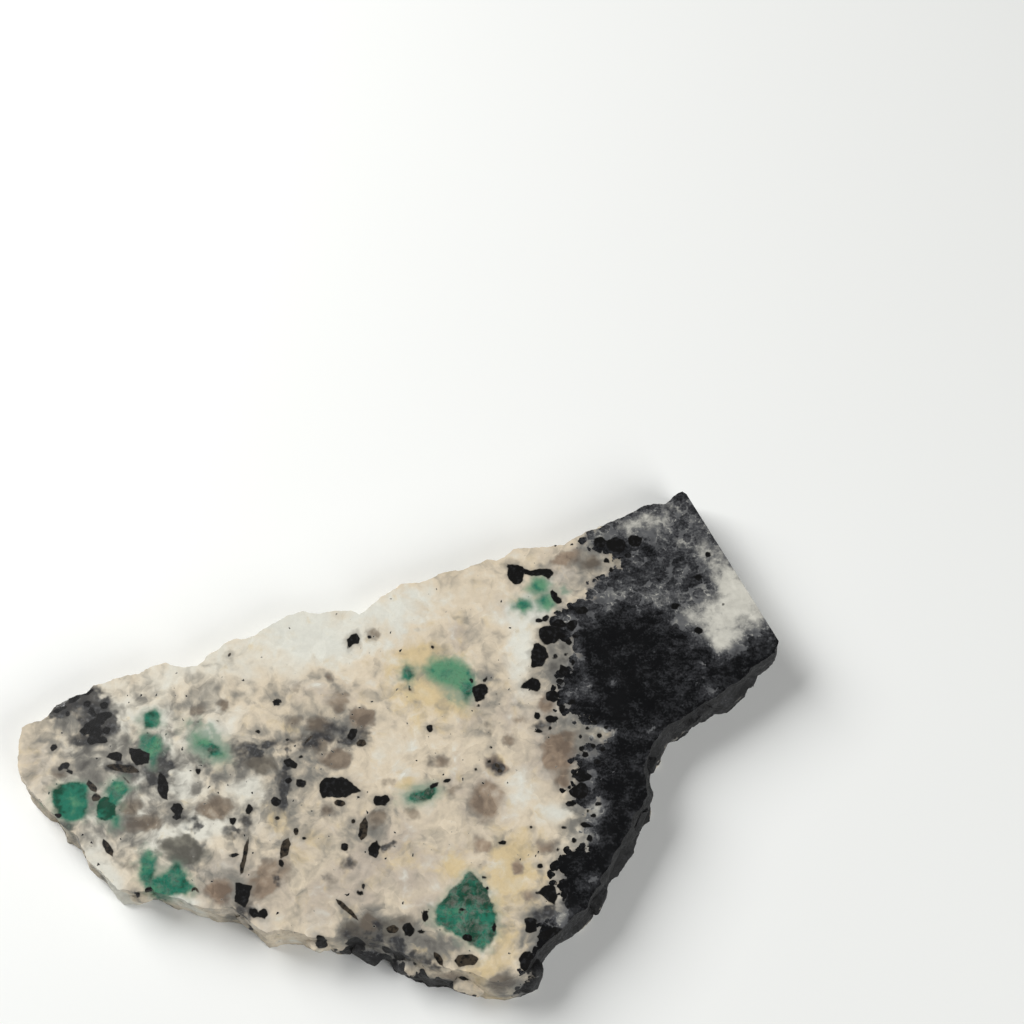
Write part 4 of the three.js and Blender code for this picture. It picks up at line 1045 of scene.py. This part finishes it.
def emerald_group():
    """Emerald crystal: deep to pale green with clouded planes, dark specks and a painted glow that pales
    its middle.
    """
    group, wiring, given, result = new_group(
        "Emerald",
        [("Place", "Vector"), ("Tone", "Float"), ("Dust", "Float"), ("Distance", "Float"),
         ("Deep Colour", "Color"), ("Bright Colour", "Color"), ("Pale Colour", "Color"),
         ("Veil Colour", "Color"), ("Speck Colour", "Color")],
        [("Color", "Color")])
    place = given["Place"]
    swirled = wiring.warped(place, scale=1.4, amount=0.6)
    tone = wiring.jittered(given["Tone"], swirled, scale=1.0, amount=2.2, detail=2.0, roughness=0.5)
    tone = wiring.jittered(tone, place, scale=3.6, amount=0.7)
    # Painted glow: the tone is raised toward pale inside each emerald, away from its outline.
    painted_glow = wiring.times(wiring.step(given["Distance"], -0.15, -0.8), 0.16)
    tone = wiring.maths("ADD", tone, painted_glow)
    colour = wiring.mixed(wiring.step(tone, -0.05, 0.50), given["Deep Colour"], given["Bright Colour"])
    colour = wiring.mixed(wiring.step(tone, 0.48, 1.10), colour, given["Pale Colour"])
    planes = wiring.noise(wiring.moved(swirled, (0.0, 13.0, 5.0)), scale=1.9, detail=4.0, roughness=0.65)
    cloud = wiring.step(planes, 0.40, 0.66)
    cloud = wiring.times(cloud, wiring.scaled(given["Dust"], 0.58, 0.03))
    colour = wiring.mixed(cloud, colour, given["Veil Colour"])
    streaks = wiring.noise(wiring.moved(swirled, (7.0, 0.0, 5.0)), scale=5.5, roughness=0.7)
    dusty = wiring.scaled(given["Dust"], 0.36, 0.14)
    specks = wiring.times(wiring.step(streaks, 0.48, 0.66), dusty)
    wiring.feed(result["Color"], wiring.mixed(specks, colour, given["Speck Colour"]))
    return group


def schist_group():
    """Mica schist: a near-black bed, grains that come loose at its edge, and pale rock caught in it."""
    group, wiring, given, result = new_group(
        "Schist",
        [("Place", "Vector"), ("Distance", "Float"), ("Haze", "Float"), ("Black Colour", "Color"),
         ("Charcoal Colour", "Color"), ("Grey Colour", "Color"), ("Pale Colour", "Color")],
        [("Color", "Color"), ("Mask", "Float"), ("Grains", "Float")])
    place = given["Place"]
    swirled = wiring.warped(place, scale=0.7, amount=0.9, detail=3.0)
    ragged = wiring.jittered(given["Distance"], swirled, scale=0.75, amount=2.6, roughness=0.5)
    # The haze given in is the pale rock caught in the schist, with painted shade on the broken rim where
    # it is cut back.
    rock_haze_and_rim_shade = wiring.jittered(given["Haze"], swirled, scale=0.9, amount=0.8, roughness=0.5)
    rock_haze_and_rim_shade = wiring.jittered(rock_haze_and_rim_shade, place, scale=3.2, amount=0.20, roughness=0.6)

    packed = wiring.warped(place, scale=2.2, amount=0.55, detail=3.0)
    blobs = wiring.cells(packed, scale=1.75)
    pick = wiring.one_of(blobs["Color"])
    parted = wiring.times(wiring.step(rock_haze_and_rim_shade, 0.05, 0.45), 0.42)
    looseness = wiring.maths("MAXIMUM", wiring.step(ragged, -0.9, 1.1), parted)
    radius = wiring.scaled(looseness, -1.02, 0.92)
    radius = wiring.scaled(pick, 0.26, radius)
    grains = wiring.step(wiring.maths("SUBTRACT", blobs["Distance"], radius), 0.05, -0.05)

    foliated = wiring.node("ShaderNodeMapping", {
        "Vector": swirled, "Rotation": (0.0, 0.0, SCHIST_LIE), "Scale": (1.0, 1.5, 1.0)}).outputs[0]
    sheen = wiring.scaled(rock_haze_and_rim_shade, 1.45, -0.05)
    flecks = wiring.times(wiring.ripple(foliated, scale=2.2, detail=4.0, roughness=0.6), 1.2)
    flecks = wiring.scaled(wiring.ripple(place, scale=7.0, roughness=0.7), 1.2, flecks)
    calm = wiring.scaled(wiring.step(rock_haze_and_rim_shade, 0.30, 0.80), -0.9, 1.1)
    sheen = wiring.scaled(flecks, calm, sheen)
    brim = wiring.step(wiring.maths("SUBTRACT", blobs["Distance"], radius), -0.16, 0.0)
    netted = wiring.times(wiring.step(rock_haze_and_rim_shade, 0.75, 0.30), wiring.times(brim, parted))
    sheen = wiring.scaled(netted, 0.8, sheen)
    dark = wiring.mixed(wiring.step(sheen, -0.10, 0.55), given["Black Colour"], given["Charcoal Colour"])
    dark = wiring.mixed(wiring.step(sheen, 0.35, 0.95), dark, given["Grey Colour"])
    dark = wiring.mixed(wiring.step(sheen, 0.76, 1.26), dark, given["Pale Colour"])

    lightness = wiring.maths("MAXIMUM", looseness, rock_haze_and_rim_shade)
    lightness = wiring.jittered(lightness, wiring.moved(swirled, (80.0, 0.0, 0.0)), scale=1.6,
                                amount=1.6, detail=4.0, roughness=0.6)
    filling = wiring.mixed(wiring.step(lightness, -0.2, 0.50), given["Charcoal Colour"],
                           given["Grey Colour"])
    filling = wiring.mixed(wiring.step(lightness, 0.40, 1.20), filling, given["Pale Colour"])
    stony = wiring.mixed(grains, filling, dark)
    milky = wiring.step(wiring.jittered(rock_haze_and_rim_shade, swirled, scale=1.4, amount=0.5), 0.46, 1.04)
    shade = wiring.scaled(wiring.noise(swirled, scale=1.5, detail=4.0, roughness=0.6), 0.75, 0.60)
    pale = wiring.shaded(given["Pale Colour"], shade)
    wiring.feed(result["Color"], wiring.mixed(milky, stony, pale))
    wiring.feed(result["Mask"], wiring.maths("MAXIMUM", grains, wiring.step(ragged, 0.70, -0.55)))
    wiring.feed(result["Grains"], grains)
    return group


def finish_group():
    """Polish on the show face, saw marks on the back and the sawn edge, and a sugary broken rim."""
    group, wiring, given, result = new_group(
        "Surface finish",
        [("Place", "Vector"), ("Broken", "Float"), ("Sawn", "Float"), ("Dark", "Float")],
        [("Roughness", "Float"), ("Height", "Float")])
    place = given["Place"]
    smear = wiring.noise(place, scale=0.8, detail=4.0, roughness=0.6)
    polish = wiring.scaled(smear, *POLISH)
    polish = wiring.scaled(given["Dark"], DARK_ROUGHNESS, polish)
    polish = wiring.scaled(given["Sawn"], SAWN_ROUGHNESS, polish)
    crystals = wiring.noise(place, scale=6.0, detail=4.0, roughness=0.7)
    rough = wiring.scaled(crystals, *BREAK_ROUGHNESS)
    wiring.feed(result["Roughness"], wiring.between(given["Broken"], polish, rough))

    flat = wiring.times(wiring.noise(place, scale=1.2, detail=1.0), SMEAR_HEIGHT)
    lines = wiring.node(
        "ShaderNodeTexWave", {"Vector": place, "Scale": 1.1, "Distortion": 1.2, "Detail": 2.0},
        wave_type="BANDS", bands_direction="DIAGONAL").outputs["Fac"]
    flat = wiring.scaled(wiring.times(lines, given["Sawn"]), SAW_LINE_HEIGHT, flat)
    facets = wiring.cells(place, scale=2.6)["Distance"]
    sugar = wiring.scaled(facets, 0.7, wiring.noise(place, scale=7.0, roughness=0.65))
    wiring.feed(result["Height"], wiring.between(given["Broken"], flat, sugar))
    return group


def stone_material(colours):
    """The whole stone: pale rock first, then each mineral laid over it by its mask."""
    material = bpy.data.materials.new("emerald_rock")
    material.use_nodes = True
    material.node_tree.nodes.clear()
    wiring = Wiring(material.node_tree)
    metres = wiring.node("ShaderNodeTexCoord").outputs["Object"]
    place = wiring.node("ShaderNodeMapping", {"Vector": metres, "Scale": (1 / MM,) * 3}).outputs["Vector"]
    edge = grown_edge_group()
    broad = wiring.ripple(place, scale=1.7, detail=2.0, roughness=0.45)
    fine = wiring.ripple(place, scale=3.6)
    focus = wiring.step(wiring.noise(place, scale=0.8, detail=2.0), 0.38, 0.62)

    def mask(field, ripple, wobble, softness, shift=0.0):
        distance = wiring.field(field)
        if shift:
            distance = wiring.maths("SUBTRACT", distance, shift)
        return wiring.group(edge, {"Distance": distance, "Ripple": ripple, "Wobble": wobble,
                                   "Softness": softness})["Mask"]

    rock = wiring.group(pale_rock_group(), {
        "Place": place, "White": wiring.field("white"), "Blush": wiring.field("blush"),
        "Stain": wiring.field("stain"), "Smoke": wiring.field("smoke"),
        "Clear": mask("quartz", broad, wobble=0.7, softness=wiring.scaled(focus, 0.30, 0.16)),
        "Clear Tone": wiring.field("quartz_tone"), "White Colour": solid(colours.white),
        "Cream Colour": solid(colours.cream), "Blush Colour": solid(colours.blush),
        "Smoke Colour": solid(colours.smoke), "Grey Quartz Colour": solid(colours.quartz_grey),
        "Brown Quartz Colour": solid(colours.quartz_brown), "Stain Colour": solid(colours.stain),
        "Speck Colour": solid(colours.mica)})
    colour = rock["Color"]

    green = wiring.times(wiring.field("green"), wiring.scaled(broad, 3.5, 1.1))
    colour = wiring.mixed(wiring.times(wiring.step(green, 0.08, 0.80), GREEN_VEIL), colour,
                          solid(colours.green_veil))

    haloed = wiring.maths("MAXIMUM", mask("grain", broad, wobble=1.2, softness=0.26, shift=0.15),
                          mask("blade", broad, wobble=0.9, softness=0.2, shift=0.11))
    colour = wiring.mixed(wiring.times(haloed, GRAIN_HALO), colour, solid(colours.smoke))
    veil = mask("veiled", broad, wobble=1.2, softness=wiring.scaled(focus, 0.30, 0.12), shift=0.06)
    shadow = wiring.mixed(wiring.step(fine, -0.05, 0.30), solid(colours.charcoal),
                          solid(colours.schist_grey))
    colour = wiring.mixed(wiring.times(veil, VEILED), colour, shadow)

    broken = wiring.field("broken")
    # The schist's pale haze is cut to three tenths on the broken rim, which paints the rim darker:
    # painted shade.
    rock_haze_and_rim_shade = wiring.times(wiring.field("schist_haze"), wiring.scaled(broken, -0.7, 1.0))
    schist = wiring.group(schist_group(), {
        "Place": place, "Distance": wiring.field("schist"), "Haze": rock_haze_and_rim_shade,
        "Black Colour": solid(colours.schist), "Charcoal Colour": solid(colours.charcoal),
        "Grey Colour": solid(colours.schist_grey), "Pale Colour": solid(colours.schist_pale)})
    colour = wiring.mixed(schist["Mask"], colour, schist["Color"])

    tone = wiring.field("emerald_tone")
    softness = wiring.scaled(wiring.maths("MAXIMUM", tone, 0.0), 0.30, 0.06)
    emerald_mask = mask("emerald", wiring.scaled(fine, 0.4, broad), wobble=0.45, softness=softness)
    emerald = wiring.group(emerald_group(), {
        "Place": place, "Tone": tone, "Dust": wiring.field("dust"), "Distance": wiring.field("emerald"),
        "Deep Colour": solid(colours.emerald_deep), "Bright Colour": solid(colours.emerald_bright),
        "Pale Colour": solid(colours.emerald_pale), "Veil Colour": solid(colours.smoke),
        "Speck Colour": solid(colours.mica)})["Color"]
    green_halo = mask("emerald", broad, wobble=1.4, softness=0.38, shift=0.24)
    colour = wiring.mixed(wiring.times(green_halo, EMERALD_HALO), colour, solid(colours.green_veil))
    colour = wiring.mixed(emerald_mask, colour, emerald)

    blade_mask = mask("blade", broad, wobble=0.22, softness=0.035)
    grain_mask = mask("grain", broad, wobble=0.40, softness=0.04)
    brown = wiring.mixed(wiring.step(fine, -0.14, 0.14), solid(colours.grain), solid(colours.mica))
    colour = wiring.mixed(blade_mask, colour, brown)
    # The black grains get charcoal flecks here: a painted sheen.
    black = wiring.mixed(wiring.times(wiring.step(fine, 0.0, 0.2), GRAIN_SHEEN), solid(colours.grain),
                         solid(colours.charcoal))
    colour = wiring.mixed(grain_mask, colour, black)

    dark = wiring.maths("MAXIMUM", schist["Grains"], wiring.maths("MAXIMUM", grain_mask, blade_mask))
    surface = wiring.group(finish_group(), {
        "Place": place, "Broken": broken, "Sawn": wiring.field("sawn"), "Dark": dark})
    bump = wiring.node("ShaderNodeBump", {"Height": surface["Height"], "Strength": BUMP_STRENGTH,
                                          "Distance": BUMP_HEIGHT}).outputs["Normal"]
    shader = wiring.node("ShaderNodeBsdfPrincipled", {
        "Base Color": colour, "Roughness": surface["Roughness"], "Normal": bump, "IOR": STONE_IOR})
    wiring.node("ShaderNodeOutputMaterial", {"Surface": shader.outputs["BSDF"]})
    return material


# ---- stage ---------------------------------------------------------------------------------

SENSOR = 36                     # the camera's sensor, in millimetres
CLIP = (1 * MM, 10)             # how near and how far the camera sees, in metres
KEY_PLACE = (-0.17, 0.12, 0.16)             # where the two lights hang, in metres
FILL_PLACE = (0.16, -0.14, 0.17)
LIGHT_SIZE = 0.17               # the side of each light, in metres
SKY_COLOUR = (1.0, 0.99, 0.97, 1.0)
FLOOR_SIZE = 1.0                # half the floor's width, in metres
FLOOR_DROP = 0.02 * MM          # the floor lies this far below the stone
FLOOR_PATCHES = (0.70, 0.70, 0.69, 1)       # the duller colour that the floor drifts towards
FLOOR_ROUGHNESS = 0.55


class StageSettings(bpy.types.PropertyGroup):
    elevation: FloatProperty(
        name="Camera elevation", description="Angle of the view above the floor",
        default=math.radians(68), min=0, max=math.radians(89), unit="ROTATION", subtype="ANGLE")
    distance: FloatProperty(
        name="Camera distance", description="From the camera to the point it looks at", default=131 * MM,
        min=50 * MM, max=1.0, unit="LENGTH", subtype="DISTANCE")
    aim: FloatVectorProperty(
        name="Aim", description="The point the camera looks at", size=3, unit="LENGTH",
        subtype="TRANSLATION", default=(6.94 * MM, 14.22 * MM, 3.0 * MM))
    lens: FloatProperty(
        name="Lens", description="Focal length in millimetres on a 36 mm sensor", default=72, min=20,
        max=200, unit="CAMERA")
    key_power: FloatProperty(
        name="Key light", description="Power of the large light behind on the left", default=0.90, min=0,
        unit="POWER")
    fill_power: FloatProperty(
        name="Fill light", description="Power of the large light in front on the right", default=0.44,
        min=0, unit="POWER")
    sky: FloatProperty(
        name="Sky", description="Strength of the even grey light", default=0.04, min=0, max=2)
    floor: FloatVectorProperty(
        name="Floor", description="Colour of the floor", subtype="COLOR", size=3, min=0, max=1,
        default=(0.86, 0.87, 0.85))


def floor_piece(settings):
    bm = bmesh.new()
    bmesh.ops.create_grid(bm, x_segments=1, y_segments=1, size=FLOOR_SIZE,
                          matrix=Matrix.Translation((0, 0, STONE_LOW.z - FLOOR_DROP)))
    floor = to_object(bm, "floor")
    material = bpy.data.materials.new("pale_floor")
    material.use_nodes = True
    material.node_tree.nodes.clear()
    wiring = Wiring(material.node_tree)
    place = wiring.node("ShaderNodeTexCoord").outputs["Object"]
    patchy = wiring.noise(place, scale=25.0)
    colour = wiring.mixed(wiring.times(patchy, 0.12), solid(settings.floor), FLOOR_PATCHES)
    shader = wiring.node("ShaderNodeBsdfPrincipled", {"Base Color": colour, "Roughness": FLOOR_ROUGHNESS})
    wiring.node("ShaderNodeOutputMaterial", {"Surface": shader.outputs["BSDF"]})
    floor.data.materials.append(material)
    return floor


def soft_light(name, power, place):
    """A square light that faces the stone."""
    data = bpy.data.lights.new(name, "AREA")
    data.energy = power
    data.size = LIGHT_SIZE
    lamp = bpy.data.objects.new(name, data)
    lamp.location = place
    lamp.rotation_euler = (-Vector(place)).to_track_quat("-Z", "Y").to_euler()
    bpy.context.scene.collection.objects.link(lamp)


def place_camera(settings):
    data = bpy.data.cameras.new("camera")
    data.lens = settings.lens
    data.sensor_width = SENSOR
    data.clip_start, data.clip_end = CLIP
    camera = bpy.data.objects.new("camera", data)
    back = Vector((0, -math.cos(settings.elevation), math.sin(settings.elevation)))
    camera.location = Vector(settings.aim) + back * settings.distance
    camera.rotation_mode = "QUATERNION"
    camera.rotation_quaternion = (-back).to_track_quat("-Z", "Y")
    bpy.context.scene.collection.objects.link(camera)
    bpy.context.scene.camera = camera


# ---- operators, panel and registration -----------------------------------------------------

class SLAB_OT_stone(bpy.types.Operator):
    """Saw the slice of rock, place its minerals and give it its material."""

    bl_idname = "slab.stone"
    bl_label = "Build the stone"
    bl_options = {"REGISTER", "UNDO"}

    def execute(self, context):
        scene = context.scene
        minerals = grow_minerals()
        crisp = minerals["grain"] + minerals["blade"] + minerals["emerald"]
        piece = sawn_slice(scene.slab_sizes)
        refine_show_face(piece, scene.slab_sizes, crisp)
        finish_surface(piece)
        store_minerals(piece, minerals)
        piece.data.materials.clear()
        piece.data.materials.append(stone_material(scene.slab_colours))
        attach(piece, BODY)
        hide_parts(NODE)
        return {"FINISHED"}


class SLAB_OT_stage(bpy.types.Operator):
    """Lay the pale floor, hang the soft lights and set up the camera."""

    bl_idname = "slab.stage"
    bl_label = "Build the stage"
    bl_options = {"REGISTER", "UNDO"}

    def execute(self, context):
        settings = context.scene.slab_stage
        floor_piece(settings)
        soft_light("key", settings.key_power, KEY_PLACE)
        soft_light("fill", settings.fill_power, FILL_PLACE)
        world = bpy.data.worlds.new("even light")
        world.use_nodes = True
        background = world.node_tree.nodes["Background"]
        background.inputs["Color"].default_value = SKY_COLOUR
        background.inputs["Strength"].default_value = settings.sky
        context.scene.world = world
        context.scene.view_settings.view_transform = "Standard"
        place_camera(settings)
        return {"FINISHED"}


class SLAB_PT_panel(bpy.types.Panel):
    """Sizes, colours and the buttons that build the stone and its stage."""

    bl_idname = "SLAB_PT_panel"
    bl_label = "Emerald slab"
    bl_space_type = "VIEW_3D"
    bl_region_type = "UI"
    bl_category = "Emerald slab"

    def draw(self, context):
        for settings in (context.scene.slab_sizes, context.scene.slab_colours, context.scene.slab_stage):
            column = self.layout.column()
            for name in settings.__annotations__:
                column.prop(settings, name)
        for operator in OPERATORS:
            self.layout.operator(operator.bl_idname)


OPERATORS = (SLAB_OT_stone, SLAB_OT_stage)
GROUPS = {"slab_sizes": SlabSizes, "slab_colours": StoneColours, "slab_stage": StageSettings}
CLASSES = (*GROUPS.values(), *OPERATORS, SLAB_PT_panel)


def register():
    for item in CLASSES:
        bpy.utils.register_class(item)
    for name, group in GROUPS.items():
        setattr(bpy.types.Scene, name, PointerProperty(type=group))


def unregister():
    for name in GROUPS:
        delattr(bpy.types.Scene, name)
    for item in reversed(CLASSES):
        bpy.utils.unregister_class(item)


def main():
    register()
    bpy.ops.slab.stone()
    bpy.ops.slab.stage()


if __name__ == "__main__":
    main()
